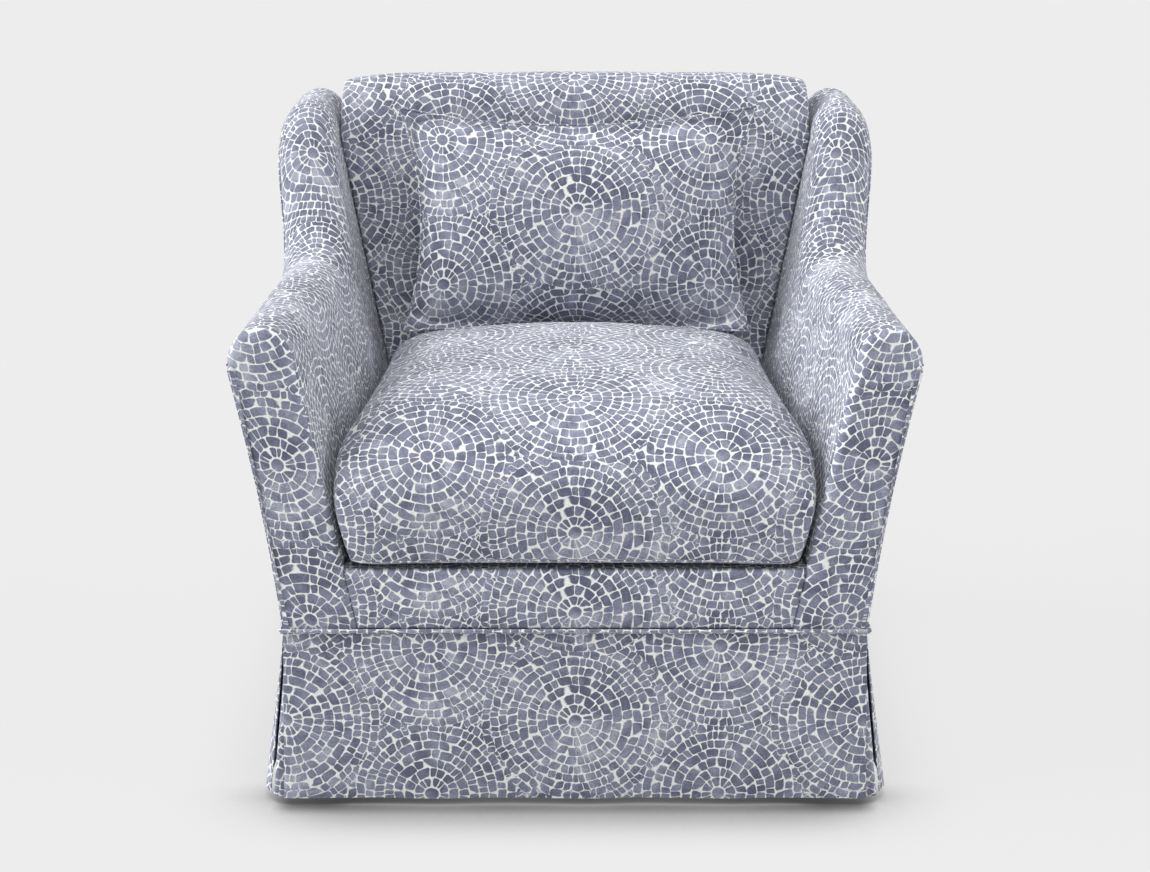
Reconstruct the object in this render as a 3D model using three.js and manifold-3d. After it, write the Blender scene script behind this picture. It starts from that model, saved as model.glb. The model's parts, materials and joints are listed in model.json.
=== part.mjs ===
// A low upholstered slipper chair with winged arms, a skirt, a loose seat cushion and a lumbar pillow.
// Millimetres, +Z up, front faces -Y, left and right as seen from the front.
import * as THREE from "three";
import { mergeVertices } from "three/addons/utils/BufferGeometryUtils.js";
import Module from "manifold-3d";

const wasm = await Module();
wasm.setup();

// Overall size
const overall_width = 808;
const overall_depth = 800;

// How far the outer faces lie in from the overall width, and how thick the sides are
const base_set_in = 61;
const arm_front_set_in = 5;
const arm_base_thickness = 88;
const wing_base_thickness = 122.5;
const arm_top_thickness = 76;
const wing_top_thickness = 78;

// Heights
const frame_bottom_height = 165;
const seam_height = 222;
const deck_front_height = 294;
const deck_back_height = 284;
const seat_line_height = 420;
const arm_height = 579;
const arm_crown = 42;
const wing_rise = 178;
const wing_crown = 50;
const back_rise = 30;

// Rake of everything above the legs, as a rise in Y for each rise in Z
const rake_share = 0.06;
const back_rake_share = 0.205;

// Side profile of arm, wing and back, as depths ahead of the rear plane
const swoop_start_reach = 401.6;
const swoop_end_reach = 157.6;
const swoop_handle = 185;
const roll_handle = 140;
const wing_rear_round = 48;
const wing_rear_drop = 36;
const back_front_reach = 229.6;
const back_bulge = 12;
const back_corner_drop = 8.4;
const back_crest_reach = 108.6;
const frame_zone_reach = 58.6;

// Thicknesses
const side_panel_thickness = 8;
const front_panel_thickness = 12;
const back_panel_thickness = 8;
const board_thickness = 28;
const post_width = 46;
const back_post_depth = 44;
const deck_thickness = 20;
const clearance = 0.3;
const bay_clearance = 0.7;
const overrun = 20;

// Timber frame
const arm_rail_height = 50;
const crest_rail_height = 60;
const crest_rail_depth = 40;
const lower_rail_height = 60;
const lower_rail_level = 330;
const corner_block_leg = 62;
const corner_block_height = 60;
const corner_block_lift = 14;
const leg_top_width = 48;
const leg_foot_width = 36;
const leg_inset = 46;
const glide_radius = 14;
const glide_height = 5;
const leg_sides = 4;
const glide_sides = 16;

// Suspension
const spring_count = 4;
const spring_spacing = 112;
const spring_wire_radius = 2;
const spring_wave = 18;
const spring_pitch = 44;
const clip_strip_depth = 14;
const clip_strip_height = 9;
const clip_strip_margin = 40;
const spring_steps_per_wave = 6;
const web_height = 52;
const web_thickness = 2.5;
const web_names = ["back_web_lower", "back_web_upper"];
const dust_cover_thickness = 1.5;

// Skirt
const skirt_thickness = 3;
const skirt_hem_height = 9;
const front_hem_flare = 6;
const side_hem_flare = 27;
const skirt_corner_gap = 9;
const skirt_fold_depth = 2.4;
const skirt_fold_width = 172;
const skirt_columns_per_fold = 8;
const underlay_width = 92;
const underlay_setback = 1.2;
const welt_radius = 2.6;
const welt_sides = 6;

// Seat cushion
const cushion_side_gap = 1.2;
const cushion_back_gap = 3;
const cushion_front_reach = 12;
const cushion_height = 197;
const cushion_pull_in = 3;
const cushion_rear_fill_share = 0.75;
const cover_thickness = 3;
const zip_slot_height = 8;
const zip_slider_length = 14;
const zip_slider_proud = 2;
const zip_running_gap = 0.5;

// Lumbar pillow
const pillow_side_margin = 69.5;
const pillow_height = 306;
const pillow_thickness = 118;
const pillow_pull_in = 15;
const pillow_lean = THREE.MathUtils.degToRad(14.5);
const pillow_lean_gap = -0.3;
const pillow_rest_lift = 126.8;
const pillow_zip_end_margin = 60;
const pillow_zip_width = 8;
const pillow_slider_length = 12;
const pillow_seam_allowance = 14;
const pillow_slot_depth = 18;
const pillow_slider_recess = 5;

// Cut sections and plan shapes, as shares
const arm_station_shares = [0, 0.2, 0.5, 0.8];
const rear_round_shares = [0, 1 / 3, 2 / 3, 1];
const swoop_steps = 9;
const crown_steps = 8;
const roll_steps = 4;
const front_roll_shares = [[0, 0], [0.12, 0.7], [0.5, 1], [1, 1]];
const rear_roll_shares = [[0, 1], [0.5, 1], [1, 0.65], [1, 0]];
const back_corner_power = 8;
const inner_face_shares = [0.35, 0.7, 1];
const back_column_shares = [-1, -0.96, -0.75, -0.4, 0, 0.4, 0.75, 0.96, 1];
const welt_corner_shares = [0, 0.25, 0.5, 0.75, 1];
const plan_steps = 8;
const cushion_waist_share = 0.38;
const zip_length_share = 0.78;
const cushion_plan_power = 10;
const cushion_profile_shares = [
  [0.55, 0], [0.9, 0], [0.972, 0.035], [0.99, 0.16], [1, cushion_waist_share], [0.99, 0.58],
  [0.96, 0.72], [0.89, 0.825], [0.72, 0.92], [0.42, 0.98],
];
const pillow_plan_power = 9;
const pillow_profile_shares = [
  [0.35, 0.03], [0.62, 0.12], [0.82, 0.25], [0.94, 0.385], [1, 0.5],
  [0.94, 0.615], [0.82, 0.75], [0.62, 0.88], [0.35, 0.97],
];

// Derived places
const half_base = overall_width / 2 - base_set_in;
const wing_height = arm_height + wing_rise;
const overall_height = wing_height + back_rise;
const arm_edge_height = arm_height - arm_crown;
const wing_edge_height = wing_height - wing_crown;
const front_plane = -overall_depth / 2 + front_hem_flare - rake_share * (seam_height - frame_bottom_height);
const rear_plane = overall_depth / 2 - rake_share * (wing_edge_height - frame_bottom_height);
const body_front = front_plane + front_panel_thickness + clearance;
const body_rear = rear_plane - back_panel_thickness - clearance;
const zone_front = rear_plane - frame_zone_reach;
const back_front = rear_plane - back_front_reach;
const back_crest = rear_plane - back_crest_reach;
const swoop_start = rear_plane - swoop_start_reach;
const swoop_end = rear_plane - swoop_end_reach;
const front_lean_share = (base_set_in - arm_front_set_in) / (arm_edge_height - seam_height);
const rear_lean_share = base_set_in / (wing_edge_height - seam_height);
const board_inset = side_panel_thickness + clearance;
const bay_inset = board_inset + board_thickness + bay_clearance;

// Colours
const fabric_blue = new THREE.MeshStandardMaterial({ color: 0x8f9bb4, roughness: 0.92, metalness: 0 });
const fabric_lining = new THREE.MeshStandardMaterial({ color: 0xd9d6cf, roughness: 0.95, metalness: 0 });
const timber = new THREE.MeshStandardMaterial({ color: 0xc49a6c, roughness: 0.7, metalness: 0 });
const dark_timber = new THREE.MeshStandardMaterial({ color: 0x4a3426, roughness: 0.55, metalness: 0 });
const spring_steel = new THREE.MeshStandardMaterial({ color: 0x6f7377, roughness: 0.4, metalness: 0.9 });
const foam = new THREE.MeshStandardMaterial({ color: 0xefe6cf, roughness: 0.95, metalness: 0 });
const black_cloth = new THREE.MeshStandardMaterial({ color: 0x2a2a2c, roughness: 0.95, metalness: 0 });
const webbing = new THREE.MeshStandardMaterial({ color: 0x8a7a5c, roughness: 0.9, metalness: 0 });
const glide_plastic = new THREE.MeshStandardMaterial({ color: 0x2f2f31, roughness: 0.5, metalness: 0 });
const zip_metal = new THREE.MeshStandardMaterial({ color: 0xb9bcc0, roughness: 0.35, metalness: 0.9 });

const lerp = THREE.MathUtils.lerp;
const clamp = THREE.MathUtils.clamp;

// Surfaces of the upholstered body, before it is raked back
function outerX(y, z) {
  const share = clamp((y - front_plane) / (rear_plane - front_plane), 0, 1);
  const lean = rear_lean_share + (front_lean_share - rear_lean_share) * (1 - share) ** 2;
  return half_base + lean * (z - seam_height);
}

function innerX(y, z) {
  const share = clamp((y - front_plane) / (back_front - front_plane), 0, 1);
  const front_lift = (z - seam_height) / (arm_edge_height - seam_height);
  const back_lift = (z - seam_height) / (wing_edge_height - seam_height);
  const arm_top_x = overall_width / 2 - arm_front_set_in - arm_top_thickness;
  const wing_top_x = overall_width / 2 - wing_top_thickness;
  const front_x = lerp(half_base - arm_base_thickness, arm_top_x, front_lift);
  const back_x = lerp(half_base - wing_base_thickness, wing_top_x, back_lift);
  return lerp(front_x, back_x, share);
}

// Heights down the inner face, with one at the seat
function innerLevels(edge, bottom) {
  return [...inner_face_shares.map((share) => lerp(edge, seat_line_height, share)), bottom];
}

function deckTop(y) {
  return lerp(deck_front_height, deck_back_height, (y - front_plane) / (zone_front - front_plane));
}

function backFrontY(z) {
  const own_rake = back_rake_share * (z - seat_line_height);
  return back_front + own_rake;
}

// Everything above the legs leans back with the height
function raked(geometry) {
  const position = geometry.getAttribute("position");
  for (let i = 0; i < position.count; i += 1) {
    const lift = Math.max(position.getZ(i) - frame_bottom_height, 0);
    position.setY(i, position.getY(i) + rake_share * lift);
  }
  return geometry;
}

// A closed skin through rings that have the same number of points
function loft(rings, plane) {
  const count = rings[0].length;
  const positions = rings.flat().flatMap((point) => [point.x, point.y, point.z]);
  const index = [];
  for (let r = 0; r + 1 < rings.length; r += 1) {
    for (let i = 0; i < count; i += 1) {
      const j = (i + 1) % count;
      const a = r * count;
      const b = a + count;
      index.push(a + i, b + i, b + j, a + i, b + j, a + j);
    }
  }
  const last = (rings.length - 1) * count;
  const start_faces = THREE.ShapeUtils.triangulateShape(rings[0].map(plane), []);
  const end_faces = THREE.ShapeUtils.triangulateShape(rings.at(-1).map(plane), []);
  const start_turns = THREE.ShapeUtils.area(rings[0].map(plane)) < 0;
  for (const [a, b, c] of start_faces) {
    index.push(...(start_turns ? [c, b, a] : [a, b, c]));
  }
  for (const [a, b, c] of end_faces) {
    index.push(...(start_turns ? [last + a, last + b, last + c] : [last + c, last + b, last + a]));
  }
  return outward(positions, index);
}

// A closed skin from a low pole, through rings, to a high pole
function ringForm(low_pole, rings, high_pole) {
  const count = rings[0].length;
  const points = [low_pole, ...rings.flat(), high_pole];
  const top = points.length - 1;
  const index = [];
  for (let i = 0; i < count; i += 1) {
    const j = (i + 1) % count;
    index.push(0, 1 + j, 1 + i);
    for (let r = 0; r + 1 < rings.length; r += 1) {
      const a = 1 + r * count;
      const b = a + count;
      index.push(a + i, a + j, b + j, a + i, b + j, b + i);
    }
    const a = 1 + (rings.length - 1) * count;
    index.push(a + i, a + j, top);
  }
  return outward(points.flatMap((point) => [point.x, point.y, point.z]), index);
}

// Makes an indexed geometry and turns its faces outward
function outward(positions, index) {
  let volume = 0;
  const corner = (i) => new THREE.Vector3().fromArray(positions, i * 3);
  for (let i = 0; i < index.length; i += 3) {
    const [a, b, c] = [corner(index[i]), corner(index[i + 1]), corner(index[i + 2])];
    volume += a.dot(b.cross(c));
  }
  const turned = [];
  for (let i = 0; i < index.length; i += 3) {
    turned.push(index[i], ...(volume < 0 ? [index[i + 2], index[i + 1]] : [index[i + 1], index[i + 2]]));
  }
  const geometry = new THREE.BufferGeometry();
  geometry.setAttribute("position", new THREE.Float32BufferAttribute(positions, 3));
  geometry.setIndex(turned);
  geometry.computeVertexNormals();
  return geometry;
}

function toSolid(geometry) {
  const bare = geometry.clone();
  bare.deleteAttribute("normal");
  bare.deleteAttribute("uv");
  const merged = mergeVertices(bare);
  return new wasm.Manifold(new wasm.Mesh({
    numProp: 3,
    vertProperties: new Float32Array(merged.getAttribute("position").array),
    triVerts: new Uint32Array(merged.getIndex().array),
  }));
}

function fromSolid(solid) {
  const mesh = solid.getMesh();
  const geometry = new THREE.BufferGeometry();
  geometry.setAttribute("position", new THREE.Float32BufferAttribute(mesh.vertProperties, 3));
  geometry.setIndex(new THREE.Uint32BufferAttribute(mesh.triVerts, 1));
  geometry.computeVertexNormals();
  return geometry;
}

function cut(geometry, ...tools) {
  let solid = toSolid(geometry);
  for (const tool of tools) {
    solid = solid.subtract(toSolid(tool));
  }
  return fromSolid(solid);
}

function block(x_low, x_high, y_low, y_high, z_low, z_high) {
  const geometry = new THREE.BoxGeometry(x_high - x_low, y_high - y_low, z_high - z_low);
  return geometry.translate((x_low + x_high) / 2, (y_low + y_high) / 2, (z_low + z_high) / 2);
}

const onFront = (point) => new THREE.Vector2(point.x, point.z);
const onSide = (point) => new THREE.Vector2(point.y, point.z);
const onFloor = (point) => new THREE.Vector2(point.x, point.y);

// Top line of arm and wing at each depth, with the height of its crown
function bodyStations(from, to) {
  const armStation = (share) => [lerp(from, swoop_start, share), arm_height, arm_crown];
  const stations = arm_station_shares.map(armStation);
  const swoop = new THREE.CubicBezierCurve(
    new THREE.Vector2(swoop_start, arm_height),
    new THREE.Vector2(swoop_start + swoop_handle, arm_height),
    new THREE.Vector2(swoop_end - roll_handle, wing_height),
    new THREE.Vector2(swoop_end, wing_height),
  );
  for (const point of swoop.getPoints(swoop_steps)) {
    const share = (point.y - arm_height) / (wing_height - arm_height);
    stations.push([point.x, point.y, lerp(arm_crown, wing_crown, share)]);
  }
  const round_start = to - wing_rear_round;
  const round_angles = rear_round_shares.map((share) => (share * Math.PI) / 2);
  for (const angle of round_angles) {
    const y = round_start + wing_rear_round * Math.sin(angle);
    const drop = wing_rear_drop * (1 - Math.cos(angle));
    stations.push([y, wing_height - drop, wing_crown - drop]);
  }
  return stations.map(([y, top, crown]) => ({ y, edge: top - crown, crown }));
}

// Mirrors a piece of the right side to the left
function mirrored(geometry, side) {
  if (side > 0) {
    return geometry;
  }
  const positions = Array.from(geometry.getAttribute("position").array);
  for (let i = 0; i < positions.length; i += 3) {
    positions[i] = -positions[i];
  }
  return outward(positions, Array.from(geometry.getIndex().array));
}

// A board of the right side, set in from the outer face
function sideBoard(stations, inset, thickness, low, high) {
  const rings = stations.map((station) => {
    const z_low = low(station);
    const z_high = high(station);
    const point = (z, depth) => new THREE.Vector3(outerX(station.y, z) - inset - depth, station.y, z);
    return [point(z_low, 0), point(z_high, 0), point(z_high, thickness), point(z_low, thickness)];
  });
  return raked(loft(rings, onFront));
}

// A piece that spans between the two sides, its ends set in from the outer faces
function crossPiece(y_low, y_high, inset, low, high) {
  const rings = [y_low, y_high].map((y) => {
    const right = (z) => outerX(y, z) - inset;
    const z_low = low(y);
    const z_high = high(y);
    const point = (side, z) => new THREE.Vector3(side * right(z), y, z);
    return [point(-1, z_low), point(1, z_low), point(1, z_high), point(-1, z_high)];
  });
  return raked(loft(rings, onFront));
}

// Stations between two depths, cut to their ends
function stationsBetween(stations, y_low, y_high) {
  const heightAt = (y) => {
    const found = stations.findIndex((station) => station.y >= y);
    const after = found < 0 ? stations.length - 1 : Math.max(found, 1);
    const a = stations[after - 1];
    const b = stations[after];
    return { y, edge: lerp(a.edge, b.edge, (y - a.y) / (b.y - a.y)), crown: a.crown };
  };
  const isInside = (station) => station.y > y_low + clearance && station.y < y_high - clearance;
  const inside = stations.filter(isInside);
  return [heightAt(y_low), ...inside, heightAt(y_high)];
}

const chair = new THREE.Group();
const seat_cushion = new THREE.Group();
const pillow = new THREE.Group();
chair.add(seat_cushion, pillow);

function addPiece(name, geometry, material, parent = chair) {
  const mesh = new THREE.Mesh(geometry, material);
  mesh.name = name;
  parent.add(mesh);
}

const both_sides = [["left", -1], ["right", 1]];
const stations = bodyStations(body_front, body_rear);
const board_front = body_front + clearance;
const post_rear = body_rear - clearance;
const post_front = post_rear - back_post_depth;
const deckBottom = (y) => deckTop(y) - deck_thickness;
const frameBottom = () => frame_bottom_height;

// Arm and wing padding: a hook over the timber side, closed on the seat side
function armPad() {
  const rings = stations.map(({ y, edge, crown }) => {
    const outer = outerX(y, edge);
    const inner = innerX(y, edge);
    const middle = (outer + inner) / 2;
    const ring = [];
    for (let i = 0; i <= crown_steps; i += 1) {
      const angle = (Math.PI * i) / crown_steps;
      const x = middle + ((outer - inner) / 2) * Math.cos(angle);
      ring.push(new THREE.Vector3(x, y, edge + crown * Math.sin(angle)));
    }
    const bottom = deckTop(y) + clearance;
    for (const z of innerLevels(edge, bottom)) {
      ring.push(new THREE.Vector3(innerX(y, z), y, z));
    }
    ring.push(new THREE.Vector3(outerX(y, bottom) - bay_inset, y, bottom));
    ring.push(new THREE.Vector3(outerX(y, edge) - bay_inset, y, edge));
    return ring;
  });
  const zone_top = wing_edge_height - wing_rear_drop;
  const zone = block(0, overall_width, zone_front - clearance, overall_depth, 0, zone_top);
  return raked(cut(loft(rings, onFront), zone));
}

// Outline of the arm front, in X and Z
function armFrontShape() {
  const seam = seam_height;
  const edge = arm_edge_height;
  const panel_x = (z) => outerX(body_front, z) - side_panel_thickness - clearance;
  const shape = new THREE.Shape();
  shape.moveTo(innerX(front_plane, seam), seam);
  shape.lineTo(panel_x(seam), seam);
  shape.lineTo(panel_x(edge), edge);
  const outer = outerX(front_plane, edge);
  const inner = innerX(front_plane, edge);
  for (let i = 0; i <= crown_steps; i += 1) {
    const angle = (Math.PI * i) / crown_steps;
    const x = (outer + inner) / 2 + ((outer - inner) / 2) * Math.cos(angle);
    shape.lineTo(x, edge + arm_crown * Math.sin(angle));
  }
  for (const z of innerLevels(edge, seam).slice(0, -1)) {
    shape.lineTo(innerX(front_plane, z), z);
  }
  return shape;
}

function armFrontPanel() {
  const geometry = new THREE.ExtrudeGeometry(armFrontShape(), {
    depth: front_panel_thickness,
    bevelEnabled: false,
  });
  geometry.rotateX(Math.PI / 2);
  geometry.translate(0, front_plane + front_panel_thickness, 0);
  geometry.deleteAttribute("normal");
  geometry.deleteAttribute("uv");
  return raked(mergeVertices(geometry));
}

// Sides: timber, padding and covers
for (const [side_name, side] of both_sides) {
  const boards = (y_low, y_high, low, high) => {
    const range = stationsBetween(stations, y_low, y_high);
    return mirrored(sideBoard(range, board_inset, board_thickness, low, high), side);
  };
  const arm_rail_top = arm_edge_height - clearance;
  const arm_rail_bottom = arm_rail_top - arm_rail_height;
  const railTop = ({ y }) => deckBottom(y) - clearance;
  const postFoot = ({ y }) => deckBottom(y);
  const underCrown = ({ edge }) => edge - clearance;
  addPiece(`${side_name}_side_rail`, boards(board_front, post_rear, frameBottom, railTop), timber);
  addPiece(
    `${side_name}_front_post`,
    boards(board_front, board_front + post_width, postFoot, () => arm_rail_bottom - clearance),
    timber,
  );
  addPiece(
    `${side_name}_arm_rail`,
    boards(board_front, post_front - clearance, () => arm_rail_bottom, () => arm_rail_top),
    timber,
  );
  addPiece(
    `${side_name}_back_post`,
    boards(post_front, post_rear, postFoot, underCrown),
    timber,
  );
  const wing_start = stations.find((station) => station.edge > arm_edge_height + arm_crown).y;
  addPiece(
    `${side_name}_wing_board`,
    boards(wing_start, post_front - clearance, () => arm_edge_height, underCrown),
    timber,
  );
  addPiece(`${side_name}_arm_pad`, mirrored(armPad(), side), fabric_blue);
  addPiece(`${side_name}_arm_front_panel`, mirrored(armFrontPanel(), side), fabric_blue);
  const outside = bodyStations(front_plane, rear_plane);
  addPiece(
    `${side_name}_outside_panel`,
    mirrored(sideBoard(outside, 0, side_panel_thickness, () => seam_height, underCrown), side),
    fabric_blue,
  );
}

// Rails across the frame
const spanInset = board_inset + board_thickness + clearance;
const clip_top = (y) => deckBottom(y) - clearance;
const cross_rail_top = (y) => clip_top(y) - clip_strip_height - clearance;
addPiece(
  "front_rail",
  crossPiece(board_front, board_front + board_thickness, spanInset, frameBottom, cross_rail_top),
  timber,
);
addPiece(
  "back_rail",
  crossPiece(post_rear - board_thickness, post_rear, spanInset, frameBottom, cross_rail_top),
  timber,
);
addPiece(
  "lower_back_rail",
  crossPiece(
    post_front, post_front + board_thickness, spanInset,
    () => lower_rail_level, () => lower_rail_level + lower_rail_height,
  ),
  timber,
);
const crest_top = wing_edge_height - wing_rear_drop - 2 * clearance;
const crest_bottom = crest_top - crest_rail_height;
addPiece(
  "crest_rail",
  crossPiece(post_front, post_front + crest_rail_depth, spanInset, () => crest_bottom, () => crest_top),
  timber,
);
const web_zone_low = lower_rail_level + lower_rail_height;
web_names.forEach((name, i) => {
  const level = lerp(web_zone_low, crest_bottom, (i + 1) / (web_names.length + 1)) - web_height / 2;
  addPiece(
    name,
    crossPiece(post_front, post_front + web_thickness, spanInset, () => level, () => level + web_height),
    webbing,
  );
});

// Triangular blocks glued into the corners of the seat frame
const rail_inner_front = board_front + board_thickness + clearance;
const rail_inner_rear = post_rear - board_thickness - clearance;
const block_low = frame_bottom_height + corner_block_lift;
for (const [side_name, side] of both_sides) {
  for (const [end_name, y, turn] of [["front", rail_inner_front, 1], ["back", rail_inner_rear, -1]]) {
    const x = side * (outerX(y, block_low) - spanInset);
    const levels = [block_low, block_low + corner_block_height];
    const rings = levels.map((z) => [
      new THREE.Vector3(x, y, z),
      new THREE.Vector3(x - side * corner_block_leg, y, z),
      new THREE.Vector3(x, y + turn * corner_block_leg, z),
    ]);
    addPiece(`${side_name}_${end_name}_corner_block`, raked(loft(rings, onFloor)), timber);
  }
}

// Legs with a glide under each
const leg_height = frame_bottom_height - clearance - glide_height - clearance;
const leg_x = half_base - leg_inset;
const leg_places = [["front", board_front + leg_top_width / 2], ["back", post_rear - leg_top_width / 2]];
const leg_top_radius = leg_top_width * Math.SQRT1_2;
const leg_foot_radius = leg_foot_width * Math.SQRT1_2;
for (const [side_name, side] of both_sides) {
  for (const [end_name, y] of leg_places) {
    const leg = new THREE.CylinderGeometry(leg_top_radius, leg_foot_radius, leg_height, leg_sides);
    leg.rotateY(Math.PI / 4);
    leg.rotateX(Math.PI / 2);
    const leg_mesh = new THREE.Mesh(leg, dark_timber);
    leg_mesh.name = `${side_name}_${end_name}_leg`;
    leg_mesh.position.set(side * leg_x, y, glide_height + clearance + leg_height / 2);
    const glide = new THREE.CylinderGeometry(glide_radius, glide_radius, glide_height, glide_sides);
    glide.rotateX(Math.PI / 2);
    const glide_mesh = new THREE.Mesh(glide, glide_plastic);
    glide_mesh.name = `${side_name}_${end_name}_glide`;
    glide_mesh.position.set(side * leg_x, y, glide_height / 2);
    chair.add(leg_mesh, glide_mesh);
  }
}

// Clip strips and sinuous springs under the deck
const strip_inset = spanInset + clip_strip_margin;
const front_strip_rear = board_front + clip_strip_depth;
const rear_strip_front = post_rear - clip_strip_depth;
const clip_bottom = (y) => clip_top(y) - clip_strip_height;
const clipStrip = (y_low, y_high) => crossPiece(y_low, y_high, strip_inset, clip_bottom, clip_top);
addPiece("front_spring_clips", clipStrip(board_front, front_strip_rear), spring_steel);
addPiece("rear_spring_clips", clipStrip(rear_strip_front, post_rear), spring_steel);

class SinuousCurve extends THREE.Curve {
  constructor(x, y_low, y_high) {
    super();
    this.x = x;
    this.y_low = y_low;
    this.y_high = y_high;
    this.waves = Math.max(Math.round((y_high - y_low) / spring_pitch), 1);
  }

  getPoint(t, target = new THREE.Vector3()) {
    const y = lerp(this.y_low, this.y_high, t);
    const ease = clamp(Math.min(t, 1 - t) * this.waves, 0, 1);
    const x = this.x + spring_wave * ease * Math.sin(2 * Math.PI * this.waves * t);
    return target.set(x, y, deckBottom(y) - spring_wire_radius * 2);
  }
}

function sinuousSpring(x) {
  const curve = new SinuousCurve(x, front_strip_rear + clearance, rear_strip_front - clearance);
  const section = new THREE.Shape();
  section.moveTo(spring_wire_radius, 0);
  section.lineTo(0, spring_wire_radius);
  section.lineTo(-spring_wire_radius, 0);
  section.lineTo(0, -spring_wire_radius);
  const steps = curve.waves * spring_steps_per_wave;
  const geometry = new THREE.ExtrudeGeometry(section, { steps, extrudePath: curve });
  geometry.deleteAttribute("normal");
  geometry.deleteAttribute("uv");
  return raked(mergeVertices(geometry));
}

for (let i = 0; i < spring_count; i += 1) {
  const x = (i - (spring_count - 1) / 2) * spring_spacing;
  addPiece(`seat_spring_${i + 1}`, sinuousSpring(x), spring_steel);
}

// Deck, front border, outside back and dust cover
const deck_rear = post_front - clearance;
addPiece("seat_deck", crossPiece(board_front, deck_rear, bay_inset, deckBottom, deckTop), fabric_lining);

function frontBorder() {
  const rings = [front_plane, front_plane + front_panel_thickness].map((y) => {
    const top = deckTop(front_plane);
    const point = (side, z) => new THREE.Vector3(side * (innerX(front_plane, z) - clearance), y, z);
    return [point(-1, seam_height), point(1, seam_height), point(1, top), point(-1, top)];
  });
  return raked(loft(rings, onFront));
}
addPiece("front_border", frontBorder(), fabric_blue);

const back_panel_inset = side_panel_thickness + clearance;
const back_panel_front = rear_plane - back_panel_thickness;
const back_panel_top = stations.at(-1).edge;
addPiece(
  "outside_back_panel",
  crossPiece(back_panel_front, rear_plane, back_panel_inset, () => seam_height, () => back_panel_top),
  fabric_blue,
);

const dust_low = frame_bottom_height + clearance;
const dust_high = dust_low + dust_cover_thickness;
addPiece(
  "dust_cover",
  crossPiece(rail_inner_front, rail_inner_rear, spanInset, () => dust_low, () => dust_high),
  black_cloth,
);

// Inside back: a raked, crowned pad that rolls over the crest rail
function insideBackPad() {
  const rear = body_rear;
  const front_edge = wing_edge_height;
  const rear_edge = stations.at(-1).edge;
  const front_y = backFrontY(front_edge);
  const rollPoint = ([along, up], y_low, y_high, z_low) =>
    new THREE.Vector2(lerp(y_low, y_high, along), lerp(z_low, overall_height, up));
  const front_controls = front_roll_shares.map((pair) => rollPoint(pair, front_y, back_crest, front_edge));
  const rear_controls = rear_roll_shares.map((pair) => rollPoint(pair, back_crest, rear, rear_edge));
  const front_roll = new THREE.CubicBezierCurve(...front_controls).getPoints(roll_steps);
  const rear_roll = new THREE.CubicBezierCurve(...rear_controls).getPoints(roll_steps);
  const roll = [...front_roll, ...rear_roll.slice(1)];
  const rings = back_column_shares.map((column) => {
    const ring = [];
    const corner = Math.abs(column) ** back_corner_power;
    const place = (y, z) => {
      const x = column * (innerX(rear_plane, Math.min(z, wing_edge_height)) - clearance);
      ring.push(new THREE.Vector3(x, y, z));
    };
    const front_low = deckTop(backFrontY(deck_back_height)) + clearance;
    for (const z of innerLevels(front_edge, front_low).reverse()) {
      const share = (z - front_low) / (front_edge - front_low);
      const bulge = back_bulge * (1 - column ** 2) * Math.sin(Math.PI * share);
      place(backFrontY(z) - bulge, z);
    }
    for (const point of roll) {
      place(point.x, point.y - corner * back_corner_drop);
    }
    for (const z of innerLevels(rear_edge, deckTop(rear) + clearance)) {
      place(rear, z);
    }
    return ring;
  });
  const zone = block(
    -overall_width, overall_width, zone_front - clearance, overall_depth,
    0, wing_edge_height - wing_rear_drop,
  );
  return raked(cut(loft(rings, onSide), zone));
}
addPiece("inside_back_pad", insideBackPad(), fabric_blue);

// Skirt: four lined panels that hang from the seam, flared and gently folded
const front_seam_y = front_plane + rake_share * (seam_height - frame_bottom_height);
const rear_seam_y = rear_plane + rake_share * (seam_height - frame_bottom_height);
const skirt_middle = (front_seam_y + rear_seam_y) / 2;
const skirt_half_depth = (rear_seam_y - front_seam_y) / 2;
const skirt_top = seam_height - clearance;

// A panel that faces -Y with its top edge on y = 0
function hangingPanel(top_half, hem_half, flare) {
  const columns = skirt_columns_per_fold * Math.max(Math.round(hem_half / skirt_fold_width), 1);
  const rings = [];
  for (let i = 0; i <= columns; i += 1) {
    const across = (2 * i) / columns - 1;
    const point = (down, depth) => {
      const fold = (1 - Math.cos((2 * Math.PI * across * hem_half) / skirt_fold_width)) / 2;
      const y = -flare * down + skirt_fold_depth * down * fold + depth;
      const half = lerp(top_half, hem_half, down);
      return new THREE.Vector3(across * half, y, lerp(skirt_top, skirt_hem_height, down));
    };
    rings.push([
      point(0, 0), point(0.5, 0), point(1, 0),
      point(1, skirt_thickness), point(0.5, skirt_thickness), point(0, skirt_thickness),
    ]);
  }
  return loft(rings, onSide);
}

function addSkirt(name, geometry, x, y, turn) {
  const mesh = new THREE.Mesh(geometry, fabric_blue);
  mesh.name = name;
  mesh.position.set(x, y, 0);
  mesh.rotation.z = turn;
  chair.add(mesh);
}

const front_top_half = half_base - clearance;
const side_top_half = skirt_half_depth - skirt_thickness - clearance;
const front_hem_half = front_top_half + front_hem_flare;
const side_hem_half = side_top_half - skirt_corner_gap;
const widePanel = () => hangingPanel(front_top_half, front_hem_half, front_hem_flare);
addSkirt("skirt_front", widePanel(), 0, front_seam_y, 0);
addSkirt("skirt_back", widePanel(), 0, rear_seam_y, Math.PI);
for (const [side_name, side] of both_sides) {
  const panel = hangingPanel(side_top_half, side_hem_half, side_hem_flare);
  addSkirt(`skirt_${side_name}`, panel, side * half_base, skirt_middle, (side * Math.PI) / 2);
}

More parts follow.
